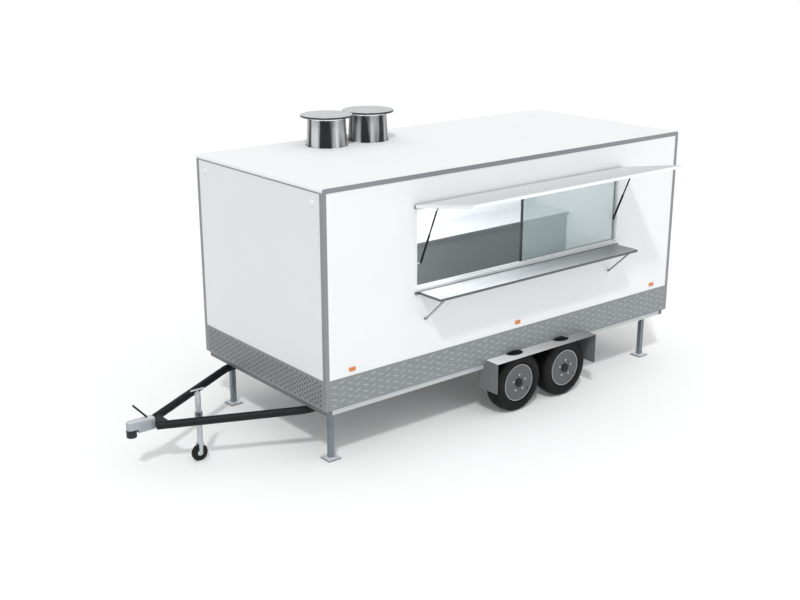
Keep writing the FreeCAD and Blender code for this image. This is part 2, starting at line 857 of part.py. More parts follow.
def skirt_plates():
    """Sheet skirts between the corner angles, cut round the wheels and under the door."""
    end_x = trim_leg + trim_gap
    plate = box(end_x, body_length - end_x, -outer_y, -side_y, skirt_bottom, skirt_top)
    for x in wheel_xs:
        plate = plate.cut(bar(Vector(x, -outer_y - overrun, tyre_radius),
                              Vector(x, -side_y + overrun, tyre_radius), tyre_radius + tyre_clearance))
    end_y = side_y - end_x
    front = box(-sheet, 0, -end_y, end_y, skirt_bottom, skirt_top)
    rear = box(body_length, body_length + sheet, -end_y, end_y, skirt_bottom, skirt_top)
    rear = rear.cut(box(body_length - overrun, body_length + overrun, door_low_y - door_trim,
                        door_high_y + door_trim, floor_top, skirt_top + overrun))
    return both_sides(plate) + [front, rear]


def mudguards():
    """A flat guard over each pair of wheels, open over the tyre crowns, with deep end plates."""
    outer = -outer_y - guard_depth
    underside = guard_top - guard_sheet
    pieces = [box(guard_front, guard_rear, outer, -outer_y, underside, guard_top)]
    for low in (guard_front, guard_rear - guard_sheet):
        high = low + guard_sheet
        pieces.append(box(low, high, outer, -outer_y, guard_bottom, guard_top))
        pieces.append(box(low, high, -outer_y, guard_tuck - outer_y, guard_bottom, skirt_bottom - seat_gap))
    guard = fused(pieces)
    slot_half = math.sqrt((tyre_radius + tyre_clearance) ** 2 - (underside - tyre_radius) ** 2)
    slot_across = tyre_half * slot_width_share
    for x in wheel_xs:
        outline = Part.Ellipse(Vector(x, -tyre_y, underside - overrun), slot_half, slot_across)
        slot = Part.Face(Part.Wire(outline.toShape())).extrude(Z_AXIS * (guard_sheet + overrun * 2))
        guard = guard.cut(slot)
    return both_sides(guard)


def wheel_arc(first, second, third):
    """An arc through three places, each given outboard and out from the axle."""
    return Part.Arc(*[Vector(0, -out, radius) for out, radius in (first, second, third)]).toShape()


def wheel_line(first, second):
    """A line between two places, each given outboard and out from the axle."""
    return Part.makeLine(Vector(0, -first[0], first[1]), Vector(0, -second[0], second[1]))


def turned_on_wheel(edges, x):
    """A closed outline turned about a serving-side wheel's axle."""
    solid = Part.makeSolid(Part.Face(Part.Wire(edges)).revolve(Vector(0, 0, 0), Y_AXIS, 360))
    solid.translate(Vector(x, -tyre_y, tyre_radius))
    return solid


def tyre(x):
    """A road tyre: crowned tread, round shoulders, bulged sides, hollow towards the rim."""
    crown = (tyre_half * crown_share, tyre_radius - crown_drop)
    shoulder = (tyre_half * shoulder_share, tyre_radius - shoulder_drop)
    across_share, down_share = shoulder_middle_shares
    bend = (crown[0] + (shoulder[0] - crown[0]) * across_share,
            crown[1] - (crown[1] - shoulder[1]) * down_share)
    bead = (rim_width / 2 - seat_gap, seat_radius + seat_gap)
    cheek = (rim_width / 2 - seat_gap, rim_radius)
    widest = (tyre_half, cheek[1] + (shoulder[1] - cheek[1]) * widest_share)
    hollow_top = tyre_radius - tyre_wall
    hollow_corner = (crown[0], hollow_top - crown_drop)
    hollow_side = (tyre_half - tyre_wall, widest[1])
    hollow_bead = (bead[0] - tyre_wall, bead[1])

    def other(place):
        return (-place[0], place[1])

    edges = [
        wheel_arc(other(crown), (0, tyre_radius), crown),
        wheel_arc(crown, bend, shoulder),
        wheel_arc(shoulder, widest, cheek),
        wheel_line(cheek, bead),
        wheel_line(bead, hollow_bead),
        wheel_line(hollow_bead, hollow_side),
        wheel_line(hollow_side, hollow_corner),
        wheel_line(hollow_corner, other(hollow_corner)),
        wheel_line(other(hollow_corner), other(hollow_side)),
        wheel_line(other(hollow_side), other(hollow_bead)),
        wheel_line(other(hollow_bead), other(bead)),
        wheel_line(other(bead), other(cheek)),
        wheel_arc(other(cheek), other(widest), other(shoulder)),
        wheel_arc(other(shoulder), other(bend), other(crown)),
    ]
    return turned_on_wheel(edges, x)


def rim(x):
    """A disc wheel with its brake drum, hub cap and nuts, bored for the spindle."""
    face = tyre_half - disc_inset
    back = face - disc_thickness
    half = rim_width / 2
    shell_radius = seat_radius - rim_shell
    edge_radius = rim_radius - rim_edge
    drum_outer = drum_inset - tyre_half
    drum_inner = drum_outer - drum_width
    bore = spindle_radius + running_gap
    bore_end = spindle_inset - tyre_half + side_gap
    places = [
        (face + hub_cap_height, 0), (face + hub_cap_height, hub_cap_radius), (face, hub_cap_radius),
        (face, edge_radius), (face + edge_rise, edge_radius), (face + edge_rise, rim_radius),
        (half, rim_radius), (half, seat_radius), (-half, seat_radius), (-half, rim_radius),
        (-half - rim_flange, rim_radius), (-half - rim_flange, shell_radius), (back, shell_radius),
        (back, hub_radius), (drum_outer, hub_radius), (drum_outer, drum_radius),
        (drum_inner, drum_radius), (drum_inner, bore), (bore_end, bore), (bore_end, 0),
    ]
    edges = [wheel_line(place, places[index - 1]) for index, place in enumerate(places)]
    pieces = [turned_on_wheel(edges, x)]
    for index in range(nut_count):
        angle = math.tau * index / nut_count
        foot = Vector(x + nut_circle_radius * math.sin(angle), -tyre_y - back,
                      tyre_radius + nut_circle_radius * math.cos(angle))
        pieces.append(Part.makeCylinder(nut_radius, disc_thickness + nut_height, foot, -Y_AXIS))
    return fused(pieces)


def window_frame():
    """The lining of the serving opening, with two grooves above and below for the panes."""
    low = opening_bottom + lining
    high = opening_top - lining
    outer = box(opening_left, opening_right, -side_y, track_back, opening_bottom, opening_top)
    inner = box(opening_left + lining, opening_right - lining, -side_y - overrun, track_back + overrun,
                low, high)
    frame = outer.cut(inner)
    tracks = [box(opening_left + lining, opening_right - lining, track_front, track_back,
                  z, z + track_height)
              for z in (low, high - track_height)]
    frame = fused([frame] + tracks)
    for front in groove_fronts():
        frame = frame.cut(box(opening_left + lining, opening_right - lining, front, front + groove,
                              low + track_floor, high - track_floor))
    return [frame]


def groove_fronts():
    """Where the outer and the inner sash groove begin."""
    return (track_front + track_rib, track_front + track_rib * 2 + groove)


def sash_span():
    """The ends and heights of both sashes, slid to the right-hand side."""
    right = opening_right - lining - seat_gap
    left = right - (opening_width - lining * 2) * sash_cover_share
    low = opening_bottom + lining + track_floor + seat_gap
    high = opening_top - lining - track_floor - seat_gap
    return left, right, low, high


def window_sashes():
    """Two sash frames, one behind the other, over the right-hand half of the opening."""
    left, right, low, high = sash_span()
    rail = track_height + track_floor
    sashes = []
    for front in groove_fronts():
        y = front + seat_gap
        frame = box(left, right, y, y + sash_depth, low, high)
        hole = box(left + sash_width, right - sash_width, y - overrun, y + sash_depth + overrun,
                   low + rail, high - rail)
        sashes.append(frame.cut(hole))
    return sashes


def window_panes():
    """The glass in the two sashes."""
    left, right, low, high = sash_span()
    rail = track_height + track_floor
    inset = (sash_depth - pane_thickness) / 2
    return [box(left + sash_width, right - sash_width, front + seat_gap + inset,
                front + seat_gap + inset + pane_thickness, low + rail, high - rail)
            for front in groove_fronts()]


def hatch_lug_places():
    """The middles of the lugs along the hatch's hinge rod."""
    first = hatch_left + hatch_border
    step = (hatch_right - hatch_border - first) / (hatch_lug_count - 1)
    return [first + step * index for index in range(hatch_lug_count)]


def hatch_knuckles():
    """Curled leaves round the hinge rod, between its lugs."""
    bore = hatch_pin_radius + running_gap
    outer = bore + hatch_curl_wall
    middle = bore + hatch_curl_wall / 2
    plate_half = hatch_curl_wall * hatch_curl_share / 2
    reach = hatch_lug_width / 2 + side_gap
    places = hatch_lug_places()
    knuckles = []
    for left, right in zip(places, places[1:]):
        start = left + reach
        end = right - reach
        knuckles.append(ring(Vector(start, hatch_pin_y, hatch_pin_z), X_AXIS, outer, bore, end - start))
        knuckles.append(box(start, end, hatch_pin_y - hatch_root - overrun, hatch_pin_y,
                            hatch_pin_z + middle - plate_half, hatch_pin_z + middle + plate_half))
    return knuckles


def hatch_frame():
    """The hatch's border with its ribs, strut lugs and hinge leaves."""
    far = hatch_pin_y - hatch_reach
    near = hatch_pin_y - hatch_root
    top = hatch_pin_z + hatch_thickness
    skin_bottom = top - hatch_recess - hatch_skin
    inner_far = far + hatch_border
    inner_near = near - hatch_border
    border = box(hatch_left, hatch_right, far, near, hatch_pin_z, top)
    border = border.cut(box(hatch_left + hatch_border, hatch_right - hatch_border, inner_far, inner_near,
                            hatch_pin_z - overrun, top + overrun))
    pieces = [border]
    lug_y = hatch_pin_y - strut_pin_reach
    lug_low = hatch_pin_z - strut_pin_drop - strut_lug_half
    for x, side in zip(strut_xs, SIDES):
        start = x + side * (strut_eye_width / 2 + seat_gap)
        end = start + side * strut_lug
        low, high = min(start, end), max(start, end)
        pieces.append(box(low, high, inner_far, inner_near, skin_bottom - hatch_rib_height, skin_bottom))
        pieces.append(box(low, high, lug_y - strut_lug_half, lug_y + strut_lug_half, lug_low, skin_bottom))
    for x in hatch_lug_places()[2:-2]:
        pieces.append(box(x - strut_lug / 2, x + strut_lug / 2, inner_far, inner_near,
                          skin_bottom - hatch_rib_height, skin_bottom))
    pieces += hatch_knuckles()
    return [leaned(fused(pieces), hatch_pin_y, hatch_pin_z, -hatch_rise)]


def hatch_panel():
    """The sheet that fills the hatch's border."""
    top = hatch_pin_z + hatch_thickness - hatch_recess
    panel = box(hatch_left + hatch_border, hatch_right - hatch_border,
                hatch_pin_y - hatch_reach + hatch_border, hatch_pin_y - hatch_root - hatch_border,
                top - hatch_skin, top)
    return [leaned(panel, hatch_pin_y, hatch_pin_z, -hatch_rise)]


def strut_pin_place():
    """Where the upper end of each strut lies while the hatch is open, as Y and Z."""
    rise = math.radians(hatch_rise)
    y = hatch_pin_y - strut_pin_reach * math.cos(rise) - strut_pin_drop * math.sin(rise)
    z = hatch_pin_z + strut_pin_reach * math.sin(rise) - strut_pin_drop * math.cos(rise)
    return y, z


def strut_open_length():
    """From the lower to the upper eye with the hatch open."""
    y, z = strut_pin_place()
    return math.hypot(y - strut_foot_y, z - strut_foot_z)


def strut_closed_length():
    """From the lower to the upper eye with the hatch closed."""
    y = hatch_pin_y + strut_pin_drop
    z = hatch_pin_z - strut_pin_reach
    return math.hypot(y - strut_foot_y, z - strut_foot_z)


def strut_tube_length():
    """From the lower eye to the cylinder's end, clear of the hatch's lugs when it is closed."""
    return strut_closed_length() - strut_lug_half - moving_gap


def strut_open_lean():
    """How far the struts lean outwards with the hatch open, in degrees."""
    y, z = strut_pin_place()
    return math.degrees(math.atan2(strut_foot_y - y, z - strut_foot_z))


def strut_eye(x, z):
    """A disc across the end of a strut, drawn upright."""
    start = Vector(x - strut_eye_width / 2, strut_foot_y, z)
    return Part.makeCylinder(strut_eye_radius, strut_eye_width, start, X_AXIS)


def strut_cylinders():
    """The lower tubes of the two gas struts, with an eye round each foot pin."""
    cylinders = []
    length = strut_tube_length()
    for x in strut_xs:
        foot = Vector(x, strut_foot_y, strut_foot_z)
        base = foot + Z_AXIS * strut_neck
        tube = Part.makeCylinder(strut_radius, length - strut_neck, base, Z_AXIS)
        bore_start = base + Z_AXIS * strut_neck
        bore = Part.makeCylinder(strut_radius - strut_wall,
                                 length - strut_neck * 2 - strut_gland, bore_start, Z_AXIS)
        throat = Part.makeCylinder(strut_rod_radius + running_gap, length, bore_start, Z_AXIS)
        neck = Part.makeCylinder(strut_rod_radius, strut_neck * 2, foot, Z_AXIS)
        body = fused([tube.cut(bore).cut(throat), neck, strut_eye(x, strut_foot_z)])
        pin = Part.makeCylinder(strut_pin_radius + running_gap, strut_eye_width + overrun * 2,
                                foot - X_AXIS * (strut_eye_width / 2 + overrun), X_AXIS)
        cylinders.append(leaned(body.cut(pin), strut_foot_y, strut_foot_z, strut_open_lean()))
    return cylinders


def strut_rods():
    """The rods of the gas struts, whose upper ends lie beside the hatch's lugs."""
    rods = []
    length = strut_open_length()
    start_z = strut_foot_z + strut_tube_length() - strut_overlap
    for x in strut_xs:
        foot = Vector(x, strut_foot_y, start_z)
        rod = bar(foot, Vector(x, strut_foot_y, strut_foot_z + length), strut_rod_radius)
        piston = Part.makeCylinder(strut_radius - strut_wall - running_gap, strut_gland, foot, Z_AXIS)
        body = fused([rod, piston, strut_eye(x, strut_foot_z + length)])
        rods.append(leaned(body, strut_foot_y, strut_foot_z, strut_open_lean()))
    return rods


def hatch_hinge_rod():
    """The hatch's hinge rod with its lugs on the wall."""
    outer = hatch_pin_radius + hatch_lug_wall
    places = hatch_lug_places()
    half = hatch_lug_width / 2
    pieces = [bar(Vector(places[0] - half, hatch_pin_y, hatch_pin_z),
                  Vector(places[-1] + half, hatch_pin_y, hatch_pin_z), hatch_pin_radius)]
    for x in places:
        pieces.append(bar(Vector(x - half, hatch_pin_y, hatch_pin_z),
                          Vector(x + half, hatch_pin_y, hatch_pin_z), outer))
        pieces.append(box(x - half, x + half, hatch_pin_y, -side_y, hatch_pin_z - outer,
                          hatch_pin_z + outer))
    return fused(pieces)


def strut_feet():
    """A round plate on each side of the lining, with the pin of a strut's lower eye."""
    feet = []
    for x, side, jamb in zip(strut_xs, SIDES, (opening_left + lining, opening_right - lining)):
        start = Vector(jamb, strut_foot_y, strut_foot_z)
        tip = Vector(x - side * strut_eye_width, strut_foot_y, strut_foot_z)
        plate = box(min(jamb, jamb - side * strut_foot_plate), max(jamb, jamb - side * strut_foot_plate),
                    strut_foot_y - strut_eye_radius, strut_foot_y + strut_foot_radius,
                    strut_foot_z - strut_foot_radius, strut_foot_z + strut_foot_radius)
        feet.append(fused([plate, bar(start, tip, strut_pin_radius)]))
    return feet


def door_hinge_lugs():
    """The wall halves of the door's hinges, each with its pin."""
    outer = door_pin_radius + door_knuckle_wall
    lugs = []
    for z in door_hinge_zs:
        low = z - door_knuckle_height / 2
        top = z + door_knuckle_height / 2
        foot = Vector(door_pin_x, door_pin_y, low)
        barrel = Part.makeCylinder(outer, door_knuckle_height / 2, foot, Z_AXIS)
        pin = Part.makeCylinder(door_pin_radius, top - low, foot, Z_AXIS)
        plate = box(body_length, body_length + door_leaf_plate, door_pin_y - door_leaf_width, door_pin_y,
                    low, z)
        web = box(body_length, door_pin_x, door_pin_y - outer, door_pin_y, low, z)
        lugs.append(fused([barrel, pin, plate, web]))
    return lugs


def hinge_fittings():
    """What the hatch, its struts and the door turn on."""
    return [hatch_hinge_rod()] + strut_feet() + door_hinge_lugs()


def shelf_rib_places():
    """The middles of the shelf's ribs, the outer ones over the stays."""
    step = (stay_xs[1] - stay_xs[0]) / (shelf_rib_count - 1)
    return [stay_xs[0] + step * index for index in range(shelf_rib_count)]


def serving_shelf():
    """A folded tray with ribs, hung on rings round the hinge rod."""
    board = box(shelf_left, shelf_right, shelf_tip_y, shelf_root_y, shelf_bottom, shelf_top)
    hollow = box(shelf_left + shelf_sheet, shelf_right - shelf_sheet, shelf_tip_y + shelf_sheet,
                 shelf_root_y - shelf_sheet, shelf_bottom - overrun, shelf_top - shelf_sheet)
    bore = shelf_pin_radius + running_gap
    outer = bore + shelf_curl_wall
    middle = shelf_pin_y - bore - shelf_curl_wall / 2
    half = shelf_rib_width / 2
    pieces = [board.cut(hollow)]
    for x in shelf_rib_places():
        pieces.append(box(x - half, x + half, shelf_tip_y, shelf_root_y, shelf_bottom, shelf_top))
        pieces.append(ring(Vector(x - half, shelf_pin_y, shelf_pin_z), X_AXIS, outer, bore, shelf_rib_width))
        pieces.append(box(x - half, x + half, middle - side_gap, middle + side_gap, shelf_pin_z,
                          shelf_top - shelf_sheet))
    return [fused(pieces)]


def shelf_rod():
    """The shelf's hinge rod on lugs from the wall, one at each side of every ring."""
    outer = shelf_pin_radius + shelf_lug_wall
    reach = shelf_rib_width / 2 + side_gap
    ends = []
    for x in shelf_rib_places():
        ends += [(x - reach - shelf_lug_width, x - reach), (x + reach, x + reach + shelf_lug_width)]
    pieces = [bar(Vector(ends[0][0], shelf_pin_y, shelf_pin_z),
                  Vector(ends[-1][1], shelf_pin_y, shelf_pin_z), shelf_pin_radius)]
    for low, high in ends:
        pieces.append(bar(Vector(low, shelf_pin_y, shelf_pin_z),
                          Vector(high, shelf_pin_y, shelf_pin_z), outer))
        pieces.append(box(low, high, shelf_pin_y, -side_y, shelf_pin_z - outer, shelf_pin_z + outer))
    return fused(pieces)


def stay_foot(x):
    """Two ears on the wall with the pin of a stay."""
    near = stay_thickness / 2 + side_gap
    half = stay_width / 2
    pin_half = near + stay_lug
    pieces = [bar(Vector(x - pin_half, stay_foot_y, stay_foot_z),
                  Vector(x + pin_half, stay_foot_y, stay_foot_z), stay_pin_radius)]
    for side in SIDES:
        low = min(x + side * near, x + side * pin_half)
        pieces.append(box(low, low + stay_lug, stay_foot_y - half, -side_y, stay_foot_z - half,
                          stay_foot_z + half))
    return fused(pieces)


def shelf_fittings():
    """The rail behind the shelf, its hinge rod and the feet of its stays."""
    rail = box(opening_left - shelf_rail_overlap, opening_right + shelf_rail_overlap,
               -side_y - shelf_rail_depth, -side_y, shelf_bottom, shelf_top)
    return [rail, shelf_rod()] + [stay_foot(x) for x in stay_xs]


def stay_length():
    """From a stay's foot pin to the middle of its round tip."""
    return math.hypot(stay_tip_y - stay_foot_y, stay_tip_z - stay_foot_z)


def stay_lean():
    """How far the stays lean outwards under the raised shelf, in degrees."""
    return math.degrees(math.atan2(stay_foot_y - stay_tip_y, stay_tip_z - stay_foot_z))


def shelf_stays():
    """Two flat stays with round ends, from the wall to under the shelf."""
    stays = []
    half = stay_width / 2
    thick = stay_thickness / 2
    tip_z = stay_foot_z + stay_length()
    for x in stay_xs:
        pieces = [box(x - thick, x + thick, stay_foot_y - half, stay_foot_y + half, stay_foot_z, tip_z)]
        for z in (stay_foot_z, tip_z):
            pieces.append(bar(Vector(x - thick, stay_foot_y, z), Vector(x + thick, stay_foot_y, z), half))
        pin = bar(Vector(x - stay_width, stay_foot_y, stay_foot_z),
                  Vector(x + stay_width, stay_foot_y, stay_foot_z), stay_pin_radius + running_gap)
        stays.append(leaned(fused(pieces).cut(pin), stay_foot_y, stay_foot_z, stay_lean()))
    return stays


def counter_base():
    """The cabinet under the worktop: front, ends and a set-back plinth."""
    front = counter_front_y
    back = front + counter_board
    kick_y = front + plinth_setback
    plinth_top = floor_top + plinth_height
    pieces = [
        box(counter_low_x, counter_high_x, front, back, plinth_top, worktop_bottom),
        box(counter_low_x, counter_high_x, front, inner_y, plinth_top, plinth_top + counter_board),
        box(counter_low_x, counter_high_x, kick_y, kick_y + counter_board, floor_top, plinth_top),
        box(counter_low_x, counter_low_x + counter_board, front, inner_y, plinth_top, worktop_bottom),
        box(counter_high_x - counter_board, counter_high_x, front, inner_y, plinth_top, worktop_bottom)]
    return [fused(pieces)]


def sink_block(grow, z_low, z_high, radius):
    """A block with rounded corners about the sink's place."""
    front = worktop_front_y + sink_front_in
    block = box(sink_middle_x - sink_length / 2 - grow, sink_middle_x + sink_length / 2 + grow,
                front - grow, front + sink_width + grow, z_low, z_high)
    uprights = [edge for edge in block.Edges
                if edge.BoundBox.ZLength > edge.BoundBox.XLength + edge.BoundBox.YLength]
    return block.makeFillet(radius + grow, uprights)


def worktop():
    """The worktop with the cut-out for the sink."""
    top = box(counter_low_x, counter_high_x, worktop_front_y, inner_y, worktop_bottom, worktop_top)
    return [top.cut(sink_block(sink_sheet + seat_gap, worktop_bottom - overrun, worktop_top + overrun,
                               sink_corner_radius))]


def sink():
    """A pressed bowl that hangs in the worktop by its rim."""
    rim_plate = sink_block(sink_rim, worktop_top, worktop_top + sink_sheet, sink_corner_radius)
    bowl = sink_block(sink_sheet, worktop_top - sink_depth, worktop_top + sink_sheet, sink_corner_radius)
    hollow = sink_block(0, worktop_top - sink_depth + sink_sheet, worktop_top + overrun, sink_corner_radius)
    return [fused([rim_plate, bowl]).cut(hollow)]


def roof_vent(x):
    """A tapered shell on the roof with a flat cap on posts."""
    top = roof_top + vent_height
    foot = Vector(x, vent_y, roof_top)
    shell = Part.makeCone(vent_base_radius, vent_top_radius, vent_height, foot, Z_AXIS)
    inside = Part.makeCone(vent_base_radius - vent_sheet, vent_top_radius - vent_sheet, vent_height,
                           foot, Z_AXIS)
    flange = ring(foot, Z_AXIS, vent_base_radius + vent_flange, vent_base_radius - vent_sheet, vent_sheet)
    cap_low = top + vent_gap
    cap = Part.makeCylinder(vent_cap_radius, vent_cap_thickness, Vector(x, vent_y, cap_low), Z_AXIS)
    cap = cap.makeFillet(vent_cap_crown, edges_at(cap, z=cap_low + vent_cap_thickness))
    pieces = [shell.cut(inside), flange, cap]
    post_circle = vent_top_radius - vent_sheet - vent_post_radius / 2
    for index in range(vent_post_count):
        angle = (math.tau * index + math.pi) / vent_post_count
        post = Vector(x + post_circle * math.cos(angle), vent_y + post_circle * math.sin(angle),
                      top - vent_gap)
        pieces.append(Part.makeCylinder(vent_post_radius, vent_gap * 2 + vent_sheet, post, Z_AXIS))
    return fused(pieces)


def rear_door():
    """The door leaf with its halves of the hinges."""
    outer = door_pin_radius + door_knuckle_wall
    leaf = box(inner_x, body_length, door_low_y, door_high_y, door_bottom, door_top)
    pieces = [leaf]
    for z in door_hinge_zs:
        low = z + side_gap
        high = z + door_knuckle_height / 2
        pieces.append(Part.makeCylinder(outer, high - low, Vector(door_pin_x, door_pin_y, low), Z_AXIS))
        pieces.append(box(body_length, door_pin_x, door_pin_y, door_pin_y + outer, low, high))
        pieces.append(box(body_length, body_length + door_leaf_plate,
                          door_pin_y, door_pin_y + door_leaf_width, low, high))
    door = fused(pieces)
    for z in door_hinge_zs:
        pin = Part.makeCylinder(door_pin_radius + running_gap, door_knuckle_height,
                                Vector(door_pin_x, door_pin_y, z), Z_AXIS)
        door = door.cut(pin)
    return [door]


def door_kick_plate():
    """The sheet over the door's lower part, in line with the skirt."""
    return [box(body_length, body_length + sheet, door_low_y, door_high_y, door_bottom, skirt_top)]


def door_handle():
    """An upright grab handle on two feet near the door's free edge."""
    y = door_high_y - handle_inset
    low = door_bottom + handle_rise
    grip_x = body_length + handle_stand
    bottom = Vector(grip_x, y, low)
    top = Vector(grip_x, y, low + handle_length)
    pieces = [bar(bottom, top, handle_radius)]
    for end in (bottom, top):
        pieces.append(Part.makeSphere(handle_radius, end))
        pieces.append(bar(Vector(body_length, y, end.z), end, handle_radius))
    return [fused(pieces)]


def side_markers():
    """Three small marker lamps along each side."""
    markers = []
    low = skirt_top + marker_rise - marker_height / 2
    for x in (marker_inset, body_length / 2, body_length - marker_inset):
        lamp = box(x - marker_length / 2, x + marker_length / 2, -side_y - marker_depth, -side_y,
                   low, low + marker_height)
        lamp = lamp.makeFillet(marker_edge_radius, edges_at(lamp, y=-side_y - marker_depth))
        markers += both_sides(lamp)
    return markers


def front_lamps():
    """Two round position lamps high on the front wall."""
    lamps = []
    lamp_z = roof_bottom - front_lamp_drop
    start = Vector(0, front_lamp_inset - side_y, lamp_z)
    lamp = Part.makeCylinder(front_lamp_radius, front_lamp_depth, start, -X_AXIS)
    lamp = lamp.makeFillet(front_lamp_edge_radius, edges_at(lamp, x=-front_lamp_depth))
    lamps += both_sides(lamp)
    return lamps


def rear_lamps():
    """Upright lamp clusters at the rear corners, on the skirt."""
    front = body_length + sheet
    y = rear_lamp_inset - side_y
    low = skirt_bottom + rear_lamp_rise - rear_lamp_height / 2
    lamp = box(front, front + rear_lamp_depth, y - rear_lamp_width / 2, y + rear_lamp_width / 2,
               low, low + rear_lamp_height)
    lamp = lamp.makeFillet(rear_lamp_edge_radius, edges_at(lamp, x=front + rear_lamp_depth))
    return both_sides(lamp)


def wheel_nodes():
    """A tyre and a rim for each wheel."""
    nodes = {}
    for name, x in zip(wheel_names, wheel_xs):
        for kind, shape in (("tyre", tyre(x)), ("rim", rim(x))):
            for side, solid in zip(SIDES, both_sides(shape)):
                nodes[f"{kind}_{name}_{side_names[side]}"] = [solid]
    return nodes


def leg_nodes():
    """The four corner legs."""
    return {f"leg_{name}_{side_names[side]}": corner_leg(x, side)
            for name, x in zip(wheel_names, leg_xs) for side in SIDES}


def build():
    """Every node's solids, by the node's name."""
    nodes = {
        "chassis_rails": chassis_rails(),
        "cross_members": cross_members(),
        "drawbar": drawbar(),
        "coupling_head": coupling_head(),
        "coupling_fittings": coupling_fittings(),
        "jockey_clamp": jockey_clamp(),
        "axles": [axle(x) for x in wheel_xs],
        "floor_panel": floor_panel(),
        "front_wall": front_wall(),
        "serving_wall": serving_wall(),
        "far_wall": far_wall(),
        "rear_wall": rear_wall(),
        "roof_panel": roof_panel(),
        "edge_trims": edge_trims(),
        "skirt_plates": skirt_plates(),
        "mudguards": mudguards(),
        "wheel_boxes": wheel_boxes(),
        "counter_base": counter_base(),
        "worktop": worktop(),
        "sink": sink(),
        "window_frame": window_frame(),
        "window_sashes": window_sashes(),
        "window_panes": window_panes(),
        "roof_vents": [roof_vent(x) for x in vent_xs],
        "side_markers": side_markers(),
        "front_lamps": front_lamps(),
        "rear_lamps": rear_lamps(),
        "hinge_fittings": hinge_fittings(),
        "shelf_fittings": shelf_fittings(),
        "hatch_frame": hatch_frame(),
        "hatch_panel": hatch_panel(),
        "strut_cylinders": strut_cylinders(),
        "strut_rods": strut_rods(),
        "serving_shelf": serving_shelf(),
        "shelf_stays": shelf_stays(),
        "rear_door": rear_door(),
        "door_kick_plate": door_kick_plate(),
        "door_handle": door_handle(),
        "jockey_post": jockey_post(),
        "jockey_fork": jockey_fork(),
        "jockey_tyre": jockey_tyre(),
        "jockey_hub": jockey_hub(),
    }
    nodes.update(wheel_nodes())
    nodes.update(leg_nodes())
    return nodes


def frame_shift(nodes):
    """The move that puts the origin on the ground, under the middle of the whole trailer."""
    whole = FreeCAD.BoundBox()
    for solids in nodes.values():
        for solid in solids:
            whole.add(solid.optimalBoundingBox(False, False))
    return Vector(-whole.Center.x, -whole.Center.y, -whole.ZMin)


def export(nodes):
    """Write each node to its own file."""
    os.makedirs("parts", exist_ok=True)
    shift = frame_shift(nodes)
    for name, solids in nodes.items():
        shape = Part.makeCompound(solids) if len(solids) > 1 else solids[0].copy()
        shape.translate(shift)
        shape.exportStep(f"parts/{name}.step")


if __name__ == "__main__":
    export(build())
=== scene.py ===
import math

import bmesh
import bpy
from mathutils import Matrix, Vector


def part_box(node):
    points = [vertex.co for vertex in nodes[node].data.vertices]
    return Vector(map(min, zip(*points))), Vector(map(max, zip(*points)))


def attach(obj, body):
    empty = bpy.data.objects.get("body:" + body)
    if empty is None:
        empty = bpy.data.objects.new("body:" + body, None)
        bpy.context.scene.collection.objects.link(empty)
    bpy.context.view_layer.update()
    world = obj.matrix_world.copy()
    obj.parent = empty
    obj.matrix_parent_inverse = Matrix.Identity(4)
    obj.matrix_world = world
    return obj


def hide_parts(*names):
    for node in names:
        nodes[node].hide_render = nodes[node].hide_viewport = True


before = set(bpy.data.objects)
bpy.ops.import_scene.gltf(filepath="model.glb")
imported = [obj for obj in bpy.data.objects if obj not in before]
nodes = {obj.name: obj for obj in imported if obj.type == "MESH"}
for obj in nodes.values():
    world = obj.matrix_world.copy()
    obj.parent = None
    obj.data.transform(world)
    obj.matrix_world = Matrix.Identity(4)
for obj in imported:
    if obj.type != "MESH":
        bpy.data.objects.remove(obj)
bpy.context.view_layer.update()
scene = bpy.context.scene

# Colours are written as they should look under plain light, in display values.
PANEL_WHITE = "EFF1F3"
ROOF_WHITE = "F4F5F6"
# The front wall's white is a darker copy of the panel white, darker at its top: painted shade.
FRONT_SHADED_WHITE = ("EAECEE", "E5E7E9")
COAT_WHITE = "F2F4F5"
GREY_TRIM = "8F9295"
PLATE_GREY = "898E91"
# Lugs are raised from the same plate: those on the end skirts and the door are painted darker, as painted
# shade, and those on the long skirts lighter, as painted highlight.
LUG_PAINTED_SHADE = "45494C"
LUG_PAINTED_HIGHLIGHT = "A5AAAD"
HATCH_GREY = "DADDDF"
STEEL_DARK = "8A8D8F"
COUNTER_GREY = "777A7B"
TUBE_BLACK = "0F1318"
# All rails are one grey coated steel: the side rails are painted lighter, as painted light against the
# shade under the body, and the end rails darker, as painted shade.
SIDE_RAIL_PAINTED_LIGHT = "D2D5D7"
END_RAIL_PAINTED_SHADE = "777B7E"
COUPLING_GREY = "ABB0B5"
ZINC_PALE = "C9CDD2"
RUBBER = "0C0D0F"
RIM_GREY = "606467"
# The rim edge is painted darker than the disc: painted shade.
RIM_EDGE = "515558"
CAP_BLACK = "15171A"
GLASS_TINT = "B9CBCB"
ORANGE = "D67A26"
LAMP_WHITE = "F4F5F5"
LAMP_RED = "A3161A"
FLOOR_BOARD = "9EA2A3"


def linear(code):
    """A display colour code as linear red, green, blue and alpha."""
    values = []
    for place in range(0, len(code), 2):
        value = int(code[place:place + 2], 16) / 255
        values.append(value / 12.92 if value <= 0.04045 else ((value + 0.055) / 1.055) ** 2.4)
    return (*values, 1.0)


def shaded(code, factor):
    """A linear colour made lighter or darker."""
    red, green, blue, alpha = linear(code)
    return (min(red * factor, 1.0), min(green * factor, 1.0), min(blue * factor, 1.0), alpha)


